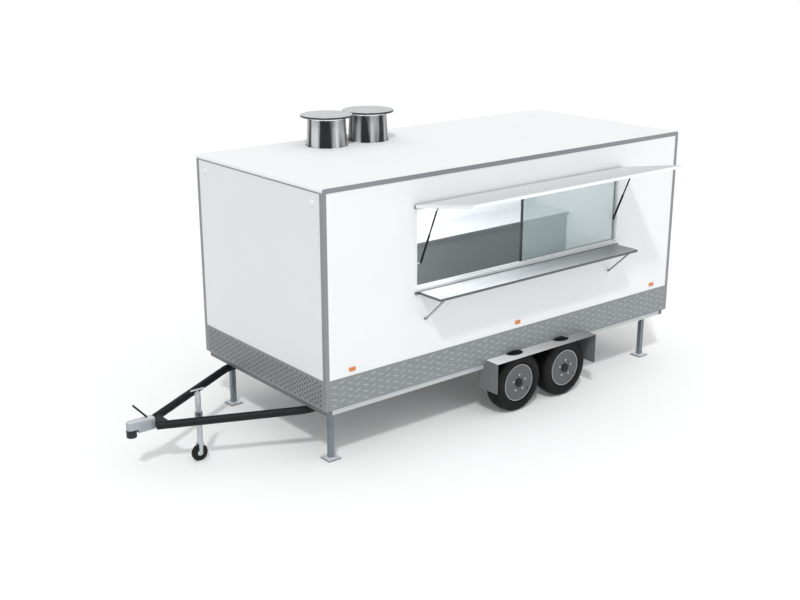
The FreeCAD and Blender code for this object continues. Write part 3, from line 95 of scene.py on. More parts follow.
class Finish:
    """A procedural material, built on the piece's own coordinates in metres."""

    def __init__(self, name, code, roughness, metallic=0.0, coat=0.0, specular=0.5):
        self.material = bpy.data.materials.new(name)
        self.material.use_nodes = True
        self.tree = self.material.node_tree
        self.shader = self.tree.nodes["Principled BSDF"]
        self.code = code
        self.set("Base Color", linear(code))
        self.set("Roughness", roughness)
        self.set("Metallic", metallic)
        self.set("Coat Weight", coat)
        self.set("Specular IOR Level", specular)
        self.place = self.add("ShaderNodeTexCoord").outputs["Object"]

    def add(self, kind, **values):
        """A new node with some of its settings."""
        node = self.tree.nodes.new(kind)
        for name, value in values.items():
            setattr(node, name, value)
        return node

    def set(self, socket, value):
        self.shader.inputs[socket].default_value = value

    def link(self, source, target):
        self.tree.links.new(source, target)
        return target

    def stretched(self, stretch):
        """The coordinates, scaled by axis."""
        node = self.add("ShaderNodeMapping")
        self.link(self.place, node.inputs["Vector"])
        node.inputs["Scale"].default_value = stretch
        return node.outputs["Vector"]

    def axes(self):
        """The three coordinates as single values."""
        node = self.add("ShaderNodeSeparateXYZ")
        self.link(self.place, node.inputs["Vector"])
        return node.outputs["X"], node.outputs["Y"], node.outputs["Z"]

    def noise(self, scale, detail=3.0, stretch=(1, 1, 1), distortion=0.0):
        """Fractal noise of so many patches to the metre."""
        node = self.add("ShaderNodeTexNoise")
        self.link(self.stretched(stretch), node.inputs["Vector"])
        node.inputs["Scale"].default_value = scale
        node.inputs["Detail"].default_value = detail
        node.inputs["Distortion"].default_value = distortion
        return node.outputs["Fac"]

    def math(self, operation, first, second=None, clamp=False):
        """One arithmetic step on sockets or numbers."""
        node = self.add("ShaderNodeMath", operation=operation, use_clamp=clamp)
        for index, value in enumerate((first, second)):
            if value is None:
                continue
            if isinstance(value, (int, float)):
                node.inputs[index].default_value = value
            else:
                self.link(value, node.inputs[index])
        return node.outputs[0]

    def between(self, value, low, high, to_low=0.0, to_high=1.0):
        """A value moved from one range to another, held at its ends."""
        node = self.add("ShaderNodeMapRange")
        self.link(value, node.inputs["Value"])
        for name, number in (("From Min", low), ("From Max", high),
                             ("To Min", to_low), ("To Max", to_high)):
            node.inputs[name].default_value = number
        return node.outputs["Result"]

    def mixed(self, factor, first, second):
        """A colour between two, each a socket or a linear colour."""
        node = self.add("ShaderNodeMix", data_type="RGBA")
        self.link(factor, node.inputs["Factor"])
        colour_inputs = [socket for socket in node.inputs if socket.type == "RGBA"]
        for socket, value in zip(colour_inputs, (first, second)):
            if isinstance(value, tuple):
                socket.default_value = value
            else:
                self.link(value, socket)
        return [socket for socket in node.outputs if socket.type == "RGBA"][0]

    def toned(self, factor, darker, lighter):
        """The base colour, varied by a pattern."""
        colour = self.mixed(factor, shaded(self.code, darker), shaded(self.code, lighter))
        self.link(colour, self.shader.inputs["Base Color"])
        return colour

    def colour(self, socket):
        self.link(socket, self.shader.inputs["Base Color"])

    def rough(self, value, low, high):
        """Roughness that follows a pattern."""
        self.link(self.between(value, 0.3, 0.7, low, high), self.shader.inputs["Roughness"])

    def bump(self, height, depth, strength=1.0):
        """Relief of so many metres on top of what is there."""
        node = self.add("ShaderNodeBump")
        node.inputs["Strength"].default_value = strength
        node.inputs["Distance"].default_value = depth
        self.link(height, node.inputs["Height"])
        normal = self.shader.inputs["Normal"]
        if normal.links:
            self.link(normal.links[0].from_socket, node.inputs["Normal"])
        self.link(node.outputs["Normal"], normal)


def panel_finish(name, code=PANEL_WHITE):
    """Smooth sandwich panel: soft gloss, slight clouding and a little road dust low down."""
    finish = Finish(name, code, roughness=0.3, coat=0.15)
    base = finish.toned(finish.noise(1.7, 4), 0.97, 1.01)
    low_down = finish.between(finish.axes()[2], 1.25, 0.62)
    dust = finish.math("MULTIPLY", low_down, finish.noise(7, 5))
    finish.colour(finish.mixed(finish.math("MULTIPLY", dust, 0.16), base, linear("B9B4AA")))
    finish.rough(finish.noise(3, 4), 0.28, 0.34)
    finish.bump(finish.noise(1.3, 1), 0.004, 0.08)
    return finish


def roof_finish():
    """The roof's white skin, weathered matt."""
    finish = Finish("roof_skin", ROOF_WHITE, roughness=0.7, specular=0.25)
    finish.toned(finish.noise(1.1, 5), 0.98, 1.01)
    finish.rough(finish.noise(2.5, 4), 0.64, 0.76)
    finish.bump(finish.noise(1.3, 1), 0.004, 0.06)
    return finish


def front_finish():
    """The front wall's panel: a darker copy of the white panel, deeper still towards its top, as painted
    shade.
    """
    finish = Finish("front_panel_painted_shade", FRONT_SHADED_WHITE[0], roughness=0.3, coat=0.15)
    low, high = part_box("front_wall")
    rise = finish.between(finish.axes()[2], low.z, high.z)
    # Painted shade, deeper towards the top.
    colour = finish.mixed(rise, linear(FRONT_SHADED_WHITE[0]), linear(FRONT_SHADED_WHITE[1]))
    clouds = finish.math("MULTIPLY", finish.noise(1.7, 4), 0.06)
    finish.colour(finish.mixed(clouds, colour, linear("C9C7C2")))
    finish.rough(finish.noise(3, 4), 0.28, 0.34)
    finish.bump(finish.noise(1.3, 1), 0.004, 0.08)
    return finish


def coated_metal(name, code, roughness=0.36, metallic=0.0, grain=420):
    """Powder coat: fine orange peel and slightly worn gloss."""
    finish = Finish(name, code, roughness, metallic)
    finish.toned(finish.noise(5, 5), 0.9, 1.06)
    finish.rough(finish.noise(23, 5), roughness * 0.8, roughness * 1.25)
    finish.bump(finish.noise(grain, 2), 0.0004, 0.15)
    return finish


def painted_reflection_ramp(finish, node, axis, low_code, high_code):
    """A painted reflection: tone that runs from one end of a piece to the other, as a flat metal top
    mirrors bright light at one end and less at the other.
    """
    low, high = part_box(node)
    index = "xyz".index(axis)
    along = finish.between(finish.axes()[index], low[index], high[index])
    return finish.mixed(along, linear(low_code), linear(high_code))


def brushed_metal(name, code, along, roughness=0.3, metallic=1.0):
    """Brushed sheet with its grain along one axis."""
    stretch = [90, 90, 90]
    stretch["xyz".index(along)] = 1.2
    finish = Finish(name, code, roughness, metallic)
    grain = finish.noise(6, 6, tuple(stretch))
    finish.toned(grain, 0.86, 1.08)
    finish.rough(finish.noise(9, 3, tuple(stretch)), roughness * 0.75, roughness * 1.3)
    finish.bump(grain, 0.00012, 0.25)
    return finish


def galvanised(name, code):
    """Hot-dipped zinc: small crystal patches of different tone."""
    finish = Finish(name, code, 0.42, 0.55)
    cells = finish.add("ShaderNodeTexVoronoi")
    finish.link(finish.place, cells.inputs["Vector"])
    cells.inputs["Scale"].default_value = 85
    patches = finish.add("ShaderNodeSeparateColor")
    finish.link(cells.outputs["Color"], patches.inputs["Color"])
    finish.toned(patches.outputs[0], 0.86, 1.1)
    finish.rough(patches.outputs[1], 0.34, 0.5)
    finish.bump(finish.noise(60, 4), 0.0004, 0.2)
    return finish


# Painted reflections on the polished steel vents: two tones up the pipe, parted by noise round it.
REFLECTION_STREAK_DARK = "1C1F22"
REFLECTION_STREAK_PALE = "DADDE0"
REFLECTION_STREAKS_PER_METRE = 10
CAP_TOP = 0.0015
CAP_THICKNESS = 0.022
VENT_GAP = 0.04
VENT_RIM = 0.02
VENT_TOP_RADIUS = 0.204


def vent_finish():
    """Polished steel vents with painted reflections up their height, pale cap tops as painted light, a
    dark cap edge as painted shade and a pale band under the cap as painted light.
    """
    finish = Finish("polished_steel", "F1F4F6", 0.22, 0.35)
    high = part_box("roof_vents")[1]
    up = finish.axes()[2]
    # Painted reflections: two tones parted by noise.
    reflection_bands = finish.between(finish.noise(REFLECTION_STREAKS_PER_METRE, 3, (1, 1, 0)), 0.42, 0.66)
    streaks = finish.mixed(reflection_bands, linear(REFLECTION_STREAK_DARK), linear(REFLECTION_STREAK_PALE))
    top = finish.toned(finish.noise(3, 2), 0.97, 1.02)
    # Painted light on the cap's top.
    on_top = finish.between(up, high.z - CAP_TOP, high.z - CAP_TOP / 2)
    # Painted shade on the cap's edge.
    cap_edge_shade = finish.between(up, high.z - CAP_THICKNESS - CAP_TOP, high.z - CAP_THICKNESS)
    # Painted light in the gap under the cap, which lies in the cap's shade.
    gap_low = high.z - CAP_THICKNESS - VENT_GAP + VENT_RIM
    gap_painted_light = finish.between(up, gap_low, gap_low + CAP_TOP)
    colour = finish.mixed(gap_painted_light, streaks, linear("E4E7E9"))
    colour = finish.mixed(cap_edge_shade, colour, linear("45484B"))
    finish.colour(finish.mixed(on_top, colour, top))
    grain = finish.noise(5, 5, (40, 40, 1))
    finish.rough(grain, 0.16, 0.26)
    finish.bump(grain, 0.0001, 0.1)
    return finish


def plate_finish(name, code):
    """Rolled aluminium sheet between the lugs: dull grain and small scuffs."""
    finish = Finish(name, code, 0.45, 0.12)
    finish.toned(finish.noise(36, 6, (1, 1, 3)), 0.88, 1.1)
    finish.rough(finish.noise(60, 5), 0.34, 0.52)
    finish.bump(finish.noise(230, 4, (1, 1, 2)), 0.0003, 0.3)
    return finish


def rubber_finish(name, code=RUBBER):
    """Rubber with a fine grain and dust that stays in it."""
    finish = Finish(name, code, 0.62)
    base = finish.toned(finish.noise(14, 6), 0.8, 1.25)
    dust = finish.math("MULTIPLY", finish.noise(5, 7), 0.03)
    finish.colour(finish.mixed(dust, base, linear("5A5650")))
    finish.set("Specular IOR Level", 0.22)
    finish.rough(finish.noise(30, 5), 0.45, 0.65)
    finish.bump(finish.noise(380, 3), 0.0004, 0.35)
    return finish


def plastic_finish(name, code, roughness=0.4):
    """Moulded plastic with a fine spark-eroded grain."""
    finish = Finish(name, code, roughness)
    finish.toned(finish.noise(40, 4), 0.92, 1.08)
    finish.rough(finish.noise(70, 3), roughness * 0.85, roughness * 1.2)
    finish.bump(finish.noise(600, 2), 0.0002, 0.3)
    return finish


def lens_finish(name, code, ribs_along, glow=0.0):
    """A lamp lens with moulded ribs, and light of its own as strong as glow."""
    finish = Finish(name, code, 0.12, coat=0.5)
    along = finish.axes()["xyz".index(ribs_along)]
    wave = finish.math("SINE", finish.math("MULTIPLY", along, math.tau / 0.006))
    finish.toned(finish.between(wave, -1, 1), 0.82, 1.15)
    finish.rough(finish.noise(50, 3), 0.08, 0.2)
    finish.bump(wave, 0.0004, 0.5)
    finish.set("Emission Color", linear(code))
    finish.set("Emission Strength", glow)
    return finish


def shelf_finish():
    """The brushed shelf, with a painted reflection that runs bright towards the front of the trailer and
    darker towards its rear, and painted shade on its folded lip and front end.
    """
    finish = brushed_metal("shelf_steel", "C4C7C9", "x", 0.38, 0.35)
    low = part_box("serving_shelf")[0]
    # Painted reflection along the shelf.
    colour = painted_reflection_ramp(finish, "serving_shelf", "x", "D8DBDD", "909294")
    along, across = finish.axes()[:2]
    # Painted shade on the lip and the front end.
    on_lip = finish.between(across, low.y + 0.0015, low.y + 0.0005)
    on_end = finish.between(along, low.x + 0.0015, low.x + 0.0005)
    dark = finish.math("MAXIMUM", on_lip, on_end)
    finish.colour(finish.mixed(dark, colour, linear("606366")))
    return finish


def guard_finish():
    """The mudguards' sheet, with a painted reflection on the tops, bright at the front and grey at the
    rear, and painted shade on the end plates and edges below the top.
    """
    finish = brushed_metal("guard_sheet", "A9ADB0", "x", 0.4, 0.12)
    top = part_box("tyre_front_serving")[1].z - TYRE_SHOW
    colour = painted_reflection_ramp(finish, "mudguards", "x", "FCFDFD", "8C8F92")
    # Painted shade: below the top, the sheet is painted darker.
    shaded_below_top = finish.between(finish.axes()[2], top - 0.0005, top - 0.0015)
    finish.colour(finish.mixed(shaded_below_top, colour, linear("7A7D7F")))
    return finish


def hatch_finish():
    """The hatch's frame: grey above, white round its edges, dark along its hinge."""
    finish = coated_metal("hatch_coat", COAT_WHITE, 0.35)
    low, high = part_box("hatch_frame")
    rise = math.radians(HATCH_RISE)
    across, up = finish.axes()[1:]
    height = finish.math("ADD", finish.math("MULTIPLY", across, math.sin(rise)),
                         finish.math("MULTIPLY", up, math.cos(rise)))
    top = (low.y + HATCH_THICKNESS * math.sin(rise)) * math.sin(rise) + high.z * math.cos(rise)
    on_top = finish.between(height, top - 0.0015, top - 0.0008)
    on_hinge = finish.between(across, high.y - 0.03, high.y - 0.028)
    colour = finish.mixed(on_top, linear(COAT_WHITE), linear(HATCH_GREY))
    finish.colour(finish.mixed(on_hinge, colour, linear("44474A")))
    return finish


def worktop_finish():
    """A pale steel worktop whose edges below the top are painted the counter front's darker grey, as
    painted shade.
    """
    finish = brushed_metal("worktop_steel", "E6EAEC", "x", 0.3, 0.3)
    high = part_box("worktop")[1]
    top = finish.toned(finish.noise(3, 4, (1, 30, 30)), 0.95, 1.03)
    # Painted shade on the edges below the top.
    shaded_below_top = finish.between(finish.axes()[2], high.z - 0.0005, high.z - 0.0015)
    finish.colour(finish.mixed(shaded_below_top, top, linear(COUNTER_GREY)))
    return finish


def coupling_finish():
    """The pressed coupling housing, with painted shade in the shallow recess of each side and painted
    light on its top.
    """
    finish = coated_metal("coupling_grey", COUPLING_GREY, 0.34, 0.2)
    low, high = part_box("coupling_head")
    along, across, up = finish.axes()
    out = finish.math("ABSOLUTE", finish.math("SUBTRACT", across, (low.y + high.y) / 2))
    half = (high.y - low.y) / 2
    # Painted shade in the side's shallow recess.
    recess = finish.between(out, half - 0.0006, half - 0.0011)
    recess = finish.math("MULTIPLY", recess, finish.between(out, half - 0.004, half - 0.003))
    recess = finish.math("MULTIPLY", recess, finish.between(up, high.z - 0.024, high.z - 0.027))
    recess = finish.math("MULTIPLY", recess, finish.between(along, high.x - 0.16, high.x - 0.155))
    base = finish.toned(finish.noise(5, 5), 0.92, 1.06)
    # Painted light: the top is painted lighter.
    on_top = finish.between(up, high.z - 0.006, high.z - 0.002)
    base = finish.mixed(on_top, base, linear("D2D6DA"))
    finish.colour(finish.mixed(recess, base, linear("9AA0A6")))
    return finish


def floor_finish():
    """The coated floor board inside, with a fine hexagonal-looking grip."""
    finish = Finish("floor_board", FLOOR_BOARD, 0.6)
    cells = finish.add("ShaderNodeTexVoronoi", feature="DISTANCE_TO_EDGE")
    finish.link(finish.place, cells.inputs["Vector"])
    cells.inputs["Scale"].default_value = 160
    finish.toned(finish.noise(4, 5), 0.9, 1.05)
    finish.bump(cells.outputs["Distance"], 0.0005, 0.4)
    return finish


def glass_finish():
    """Two layers of faintly green acrylic that take a part of the light."""
    finish = Finish("window_glass", GLASS_TINT, 0.06, coat=0.3)
    finish.toned(finish.noise(2.5, 3), 0.96, 1.03)
    finish.rough(finish.noise(12, 4), 0.03, 0.1)
    finish.set("Alpha", 0.24)
    return finish


def finish_by_height(name, codes, splits, width=0.0005, roughness=0.4, metallic=0.3):
    """Finishes one above another, parted at given heights."""
    finish = Finish(name, codes[0], roughness, metallic)
    up = finish.axes()[2]
    patches = finish.noise(60, 5)
    tone = finish.math("MULTIPLY_ADD", patches, 0.25)
    tone.node.inputs[2].default_value = 0.87
    colour = linear(codes[0])
    for code, split in zip(codes[1:], splits):
        colour = finish.mixed(finish.between(up, split - width, split + width), colour, linear(code))
    shade = finish.add("ShaderNodeVectorMath", operation="SCALE")
    finish.link(colour, shade.inputs[0])
    finish.link(tone, shade.inputs["Scale"])
    finish.colour(shade.outputs["Vector"])
    finish.rough(patches, roughness * 0.8, roughness * 1.2)
    finish.bump(patches, 0.0004, 0.2)
    return finish


def rim_finish(node):
    """A disc wheel: grey disc, a rim edge painted darker than the disc as painted shade against its bright
    reflection, bright nuts and a black hub cap.
    """
    low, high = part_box(node)
    middle = (low + high) / 2
    outward = -1 if middle.y < body_middle_y else 1
    finish = Finish(f"{node}_finish", RIM_GREY, 0.4, 0.35)
    across, depth, up = finish.axes()
    across = finish.math("SUBTRACT", across, middle.x)
    up = finish.math("SUBTRACT", up, middle.z)
    squares = finish.math("ADD", finish.math("MULTIPLY", across, across), finish.math("MULTIPLY", up, up))
    radius = finish.math("SQRT", squares)
    outer = (high.z - low.z) / 2
    face_y = (low.y if outward < 0 else high.y) - outward * HUB_CAP_HEIGHT
    proud = finish.math("MULTIPLY", finish.math("SUBTRACT", depth, face_y), outward)
    raised = finish.between(proud, 0.0005, 0.001)
    # Painted shade: the rim's outer edge is painted darker than the disc.
    edge = finish.between(radius, outer - RIM_EDGE_WIDTH - 0.0005, outer - RIM_EDGE_WIDTH)
    cap = finish.between(radius, HUB_CAP_RADIUS + 0.001, HUB_CAP_RADIUS)
    base = finish.toned(finish.noise(30, 5), 0.93, 1.06)
    base = finish.mixed(raised, base, linear("B4B7BA"))
    base = finish.mixed(edge, base, linear(RIM_EDGE))
    finish.colour(finish.mixed(cap, base, linear(CAP_BLACK)))
    finish.rough(finish.noise(45, 4), 0.32, 0.48)
    finish.bump(finish.noise(260, 3), 0.0003, 0.2)
    return finish


def sash_finish():
    """Window sashes: dark upright stiles and light rails."""
    low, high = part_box("window_sashes")
    finish = Finish("sash_profile", "33373A", 0.35, 0.4)
    across = finish.axes()[0]
    past_left = finish.between(across, low.x + SASH_WIDTH - 0.0005, low.x + SASH_WIDTH + 0.0005)
    before_right = finish.between(across, high.x - SASH_WIDTH + 0.0005, high.x - SASH_WIDTH - 0.0005)
    stile = finish.toned(finish.noise(50, 3), 0.9, 1.1)
    light = finish.math("MAXIMUM", finish.math("MULTIPLY", past_left, before_right),
                        finish.between(across, high.x - SASH_WIDTH, high.x - SASH_WIDTH + 0.0005))
    finish.colour(finish.mixed(light, stile, linear("C9CED0")))
    finish.rough(finish.noise(80, 3), 0.28, 0.42)
    finish.bump(finish.noise(300, 2), 0.0002, 0.15)
    return finish


# Sizes that the finishes and pieces below share with the solids, in metres.
TYRE_SHOW = 0.01
HATCH_RISE = 10
HATCH_THICKNESS = 0.03
HUB_CAP_HEIGHT = 0.014
HUB_CAP_RADIUS = 0.047
RIM_EDGE_WIDTH = 0.0055
SASH_WIDTH = 0.02
body_low, body_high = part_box("roof_panel")
body_middle_y = (body_low.y + body_high.y) / 2
skirt_low, skirt_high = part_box("skirt_plates")
leg_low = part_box("leg_front_serving")[0]
FOOT_THICKNESS = 0.018


def finish_nodes():
    """Give every solid that stays its finish."""
    white = panel_finish("white_panel")
    trim = brushed_metal("aluminium_trim", GREY_TRIM, "z", 0.42, 0.25)
    # End rails in a darker copy of the rail grey: painted shade.
    end_rail_shade_finish = coated_metal("end_rail_painted_shade", END_RAIL_PAINTED_SHADE, 0.45, 0.1)
    tube = coated_metal("tube_black", TUBE_BLACK, 0.5)
    tube.set("Specular IOR Level", 0.3)
    fitting = brushed_metal("fitting_steel", STEEL_DARK, "z", 0.35)
    black = coated_metal("satin_black", "08090A", 0.6)
    black.set("Specular IOR Level", 0.2)
    # The foot plates are painted near white on top, above their grey sides: painted light.
    foot_top = leg_low.z + FOOT_THICKNESS
    leg_with_painted_light = finish_by_height("leg_zinc", ("858B91", "F4F6FA", "7D868E"),
                           (foot_top - 0.001, foot_top + 0.0015))
    hinge_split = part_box("window_frame")[1].z
    hinges = finish_by_height("hinge_steel", ("D3D7DA", "6A6D70"), (hinge_split,), roughness=0.35)
    plate = plate_finish("checker_plate", PLATE_GREY)
    by_node = {
        # Side rails in a lighter copy of the rail grey: painted light.
        "chassis_rails": coated_metal("side_rail_painted_light", SIDE_RAIL_PAINTED_LIGHT, 0.45, 0.1),
        "cross_members": end_rail_shade_finish, "drawbar": tube, "axles": tube,
        "coupling_head": coupling_finish(),
        "coupling_fittings": coated_metal("coupling_black", "17191B", 0.38), "jockey_clamp": fitting,
        "floor_panel": floor_finish(), "front_wall": front_finish(), "serving_wall": white,
        "far_wall": white, "rear_wall": white, "roof_panel": roof_finish(), "rear_door": white,
        "edge_trims": trim, "skirt_plates": plate, "door_kick_plate": plate,
        "mudguards": guard_finish(), "wheel_boxes": coated_metal("wheel_box_coat", "C9CDCF", 0.5),
        "counter_base": brushed_metal("counter_front", COUNTER_GREY, "x", 0.45, 0.3),
        "worktop": worktop_finish(),
        "sink": brushed_metal("sink_steel", "E6EAEC", "y", 0.35, 0.2),
        "window_frame": coated_metal("window_coat", "E9EDEF", 0.3),
        "window_sashes": sash_finish(), "window_panes": glass_finish(),
        "roof_vents": vent_finish(),
        "side_markers": lens_finish("orange_lens", ORANGE, "x"),
        "front_lamps": lens_finish("clear_lens", LAMP_WHITE, "y"),
        "rear_lamps": lens_finish("red_lens", LAMP_RED, "z"),
        "hinge_fittings": hinges, "shelf_fittings": fitting,
        "hatch_frame": hatch_finish(),
        "hatch_panel": brushed_metal("hatch_skin", HATCH_GREY, "x", 0.5, 0.1),
        "strut_cylinders": black, "strut_rods": black,
        "serving_shelf": shelf_finish(),
        "shelf_stays": brushed_metal("stay_steel", "9C9FA2", "z", 0.4, 0.3),
        "door_handle": plastic_finish("handle_black", "191B1D"),
        "jockey_post": galvanised("post_zinc", ZINC_PALE),
        "jockey_fork": galvanised("fork_zinc", ZINC_PALE),
        "jockey_tyre": rubber_finish("jockey_rubber", "17191A"),
        "jockey_hub": plastic_finish("jockey_plastic", "DFE2E5"),
    }
    for name in nodes:
        if name.startswith("rim_"):
            by_node[name] = rim_finish(name)
        elif name.startswith("leg_"):
            by_node[name] = leg_with_painted_light
        elif name.startswith("tyre_"):
            by_node[name] = rubber_finish(f"{name}_rubber")
    for name, node in nodes.items():
        node.data.materials.clear()
        node.data.materials.append(by_node[name].material)
    return by_node


finishes = finish_nodes()


def add_piece(name, mesh, finish, body, sharp_angle=35):
    """A mesh as a piece that rides on a body."""
    made = bpy.data.meshes.new(name)
    mesh.to_mesh(made)
    mesh.free()
    made.materials.append(finish.material)
    made.shade_smooth()
    made.set_sharp_from_angle(angle=math.radians(sharp_angle))
    piece = bpy.data.objects.new(name, made)
    scene.collection.objects.link(piece)
    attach(piece, body)
    return piece


def add_strip(name, points, radius, finish, body, closed=True):
    """A round bead along straight runs, as a rubber seal or a weld."""
    curve = bpy.data.curves.new(name, "CURVE")
    curve.dimensions = "3D"
    curve.bevel_depth = radius
    curve.bevel_resolution = 2
    spline = curve.splines.new("POLY")
    spline.points.add(len(points) - 1)
    for place, point in zip(points, spline.points):
        point.co = (*place, 1)
    spline.use_cyclic_u = closed
    curve.materials.append(finish.material)
    strip = bpy.data.objects.new(name, curve)
    scene.collection.objects.link(strip)
    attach(strip, body)
    return strip


def turned(mesh, rings, centre, outward):
    """Close a surface from rings of (distance outward, radius at each step) about a wheel's axle."""
    loops = []
    for across, radii in rings:
        steps = len(radii)
        loop = []
        for step, radius in enumerate(radii):
            angle = math.tau * step / steps
            place = Vector((radius * math.sin(angle), outward * across, radius * math.cos(angle)))
            loop.append(mesh.verts.new(centre + place))
        loops.append(loop)
    for index, loop in enumerate(loops):
        after = loops[(index + 1) % len(loops)]
        for step in range(len(loop)):
            following = (step + 1) % len(loop)
            mesh.faces.new((loop[step], loop[following], after[following], after[step]))


# Road tyres, in metres: tread pattern and side relief inside the solids' outline.
TREAD_SHARE = 0.64
TREAD_DROP = 0.006
SHOULDER_SHARE = 0.95
SHOULDER_DROP = 0.032
SHOULDER_BEND = 1.5
BEAD_SHARE = 0.775
GROOVE_MIDDLES = (0.14, 0.42)
GROOVE_HALF = 0.0035
GROOVE_DEPTH = 0.007
BLOCK_DEPTH = 0.005
BLOCK_PITCHES = 66
STEPS_PER_PITCH = 4
SIDE_STEPS = 12
INSIDE_DEPTH = 0.012


def tyre_outline(half, outer, rim_radius):
    """Half of the tyre's section, as (distance from its middle, radius, depth of the block cuts)."""
    crown = half * TREAD_SHARE
    places = [0.0]
    for share in GROOVE_MIDDLES:
        middle = half * share
        places += [middle - GROOVE_HALF, middle - GROOVE_HALF + 0.001,
                   middle + GROOVE_HALF - 0.001, middle + GROOVE_HALF]
    places += [half * 0.5, crown]
    outline = []
    for place in places:
        in_groove = any(abs(place - half * share) < GROOVE_HALF - 0.0005 for share in GROOVE_MIDDLES)
        radius = outer - TREAD_DROP * (place / crown) ** 2 - (GROOVE_DEPTH if in_groove else 0)
        outline.append((place, radius, BLOCK_DEPTH if place > half * 0.47 else 0))
    shoulder = (half * SHOULDER_SHARE, outer - SHOULDER_DROP)
    for step in range(1, 5):
        turn = math.pi / 2 * step / 5
        place = crown + (shoulder[0] - crown) * math.sin(turn)
        radius = shoulder[1] + (outer - TREAD_DROP - shoulder[1]) * math.cos(turn) ** SHOULDER_BEND
        outline.append((place, radius, BLOCK_DEPTH * (1 - step / 5)))
    widest = (shoulder[1] + rim_radius) / 2
    bead = half * BEAD_SHARE
    for step in range(SIDE_STEPS + 1):
        share = step / SIDE_STEPS
        radius = shoulder[1] + (rim_radius - shoulder[1]) * share
        from_widest = (radius - widest) / (shoulder[1] - widest)
        end = shoulder[0] if from_widest > 0 else bead
        place = half - (half - end) * from_widest ** 2
        relief = 0.0009 if step in (3, 4, 10) else 0
        outline.append((place - 0.001 + relief, radius, 0))
    outline.append((bead - INSIDE_DEPTH, rim_radius, 0))
    return outline


def road_tyre(node):
    """A tyre with ribs, cut shoulder blocks and fine rings on its sides."""
    low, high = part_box(node)
    centre = (low + high) / 2
    half = (high.y - low.y) / 2
    outer = (high.z - low.z) / 2
    rim_low, rim_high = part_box(node.replace("tyre", "rim"))
    outline = tyre_outline(half, outer, (rim_high.z - rim_low.z) / 2)
    steps = BLOCK_PITCHES * STEPS_PER_PITCH
    rings = []
    other_half = [(-place, radius, cut) for place, radius, cut in reversed(outline[1:])]
    for across, radius, cut in outline + other_half:
        radii = [radius - (cut if step % STEPS_PER_PITCH == 0 else 0) for step in range(steps)]
        rings.append((across, radii))
    mesh = bmesh.new()
    turned(mesh, rings, centre, 1)
    bmesh.ops.recalc_face_normals(mesh, faces=mesh.faces)
    body = node.replace("tyre", "wheel")
    piece = add_piece(f"road_{node}", mesh, finishes[node], body)
    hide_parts(node)


for name in sorted(nodes):
    if name.startswith("tyre_"):
        road_tyre(name)


# Checker plate, in metres: raised lens-shaped lugs that lean one way in one column and the
# other way in the next. The long plates lie with their pattern along the trailer, and the
# end plates have a finer one.
SIDE_LUGS = {"length": 0.084, "half_width": 0.0088, "height": 0.0022, "lean": 18, "pitch": (0.0925, 0.064)}
END_LUGS = {"length": 0.058, "half_width": 0.0072, "height": 0.0016, "lean": 48, "pitch": (0.0425, 0.05)}
LUG_PARTS = 8
LUG_CREST_SHARE = 0.12
PLATE_MARGIN = 0.012
TRIM_LEG = 0.045
REAR_LAMP_Y = 1.015
REAR_LAMP_HALF = 0.046
X_AXIS = Vector((1, 0, 0))
Y_AXIS = Vector((0, 1, 0))
Z_AXIS = Vector((0, 0, 1))


def add_lug(mesh, centre, along, across, normal, size):
    """One raised lens with a narrow crest."""
    rows = []
    for part in range(LUG_PARTS + 1):
        share = part / LUG_PARTS * 2 - 1
        swell = 1 - share * share
        spine = centre + along * (size["length"] / 2 * share)
        width = across * (size["half_width"] * swell)
        rise = normal * (size["height"] * swell)
        if part in (0, LUG_PARTS):
            rows.append([mesh.verts.new(spine)])
        else:
            rows.append([mesh.verts.new(spine - width),
                         mesh.verts.new(spine - width * LUG_CREST_SHARE + rise),
                         mesh.verts.new(spine + width * LUG_CREST_SHARE + rise),
                         mesh.verts.new(spine + width)])
    for first, second in zip(rows, rows[1:]):
        if len(first) == 1 or len(second) == 1:
            tip, row = (first[0], second) if len(first) == 1 else (second[0], first)
            for one, other in zip(row, row[1:]):
                mesh.faces.new((tip, one, other))
        else:
            for index in range(3):
                mesh.faces.new((first[index], second[index], second[index + 1], first[index + 1]))


def lug_field(origin, right, normal, width, height, size, allowed):
    """Lugs over an upright plate, in columns that lean by turns."""
    mesh = bmesh.new()
    step_x, step_z = size["pitch"]
    columns = int((width - PLATE_MARGIN * 2) / step_x)
    rows = int((height - PLATE_MARGIN * 2) / step_z)
    start_x = (width - (columns - 1) * step_x) / 2
    start_z = (height - (rows - 0.5) * step_z) / 2
    lean = math.radians(size["lean"])
    for column in range(columns):
        sense = 1 if column % 2 else -1
        along = right * math.cos(lean) + Z_AXIS * (math.sin(lean) * sense)
        across = Z_AXIS * math.cos(lean) - right * (math.sin(lean) * sense)
        for row in range(rows):
            x = start_x + column * step_x
            z = start_z + (row + (0.5 if column % 2 else 0)) * step_z
            if allowed(x, z):
                add_lug(mesh, origin + right * x + Z_AXIS * z, along, across, normal, size)
    bmesh.ops.recalc_face_normals(mesh, faces=mesh.faces)
    if sum((face.normal.dot(normal) for face in mesh.faces)) < 0:
        bmesh.ops.reverse_faces(mesh, faces=mesh.faces)
    return mesh


def clear_of_wheels(x, z):
    """True where a lug on the long skirts stays clear of the wheel cut-outs and corner trims."""
    reach = SIDE_LUGS["length"] / 2 + 0.01
    for name in ("front", "rear"):
        low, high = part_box(f"tyre_{name}_serving")
        away = math.hypot(skirt_low.x + x - (low.x + high.x) / 2, skirt_low.z + z - (low.z + high.z) / 2)
        if away < (high.z - low.z) / 2 + reach:
            return False
    return TRIM_LEG + reach < x < skirt_high.x - skirt_low.x - TRIM_LEG - reach


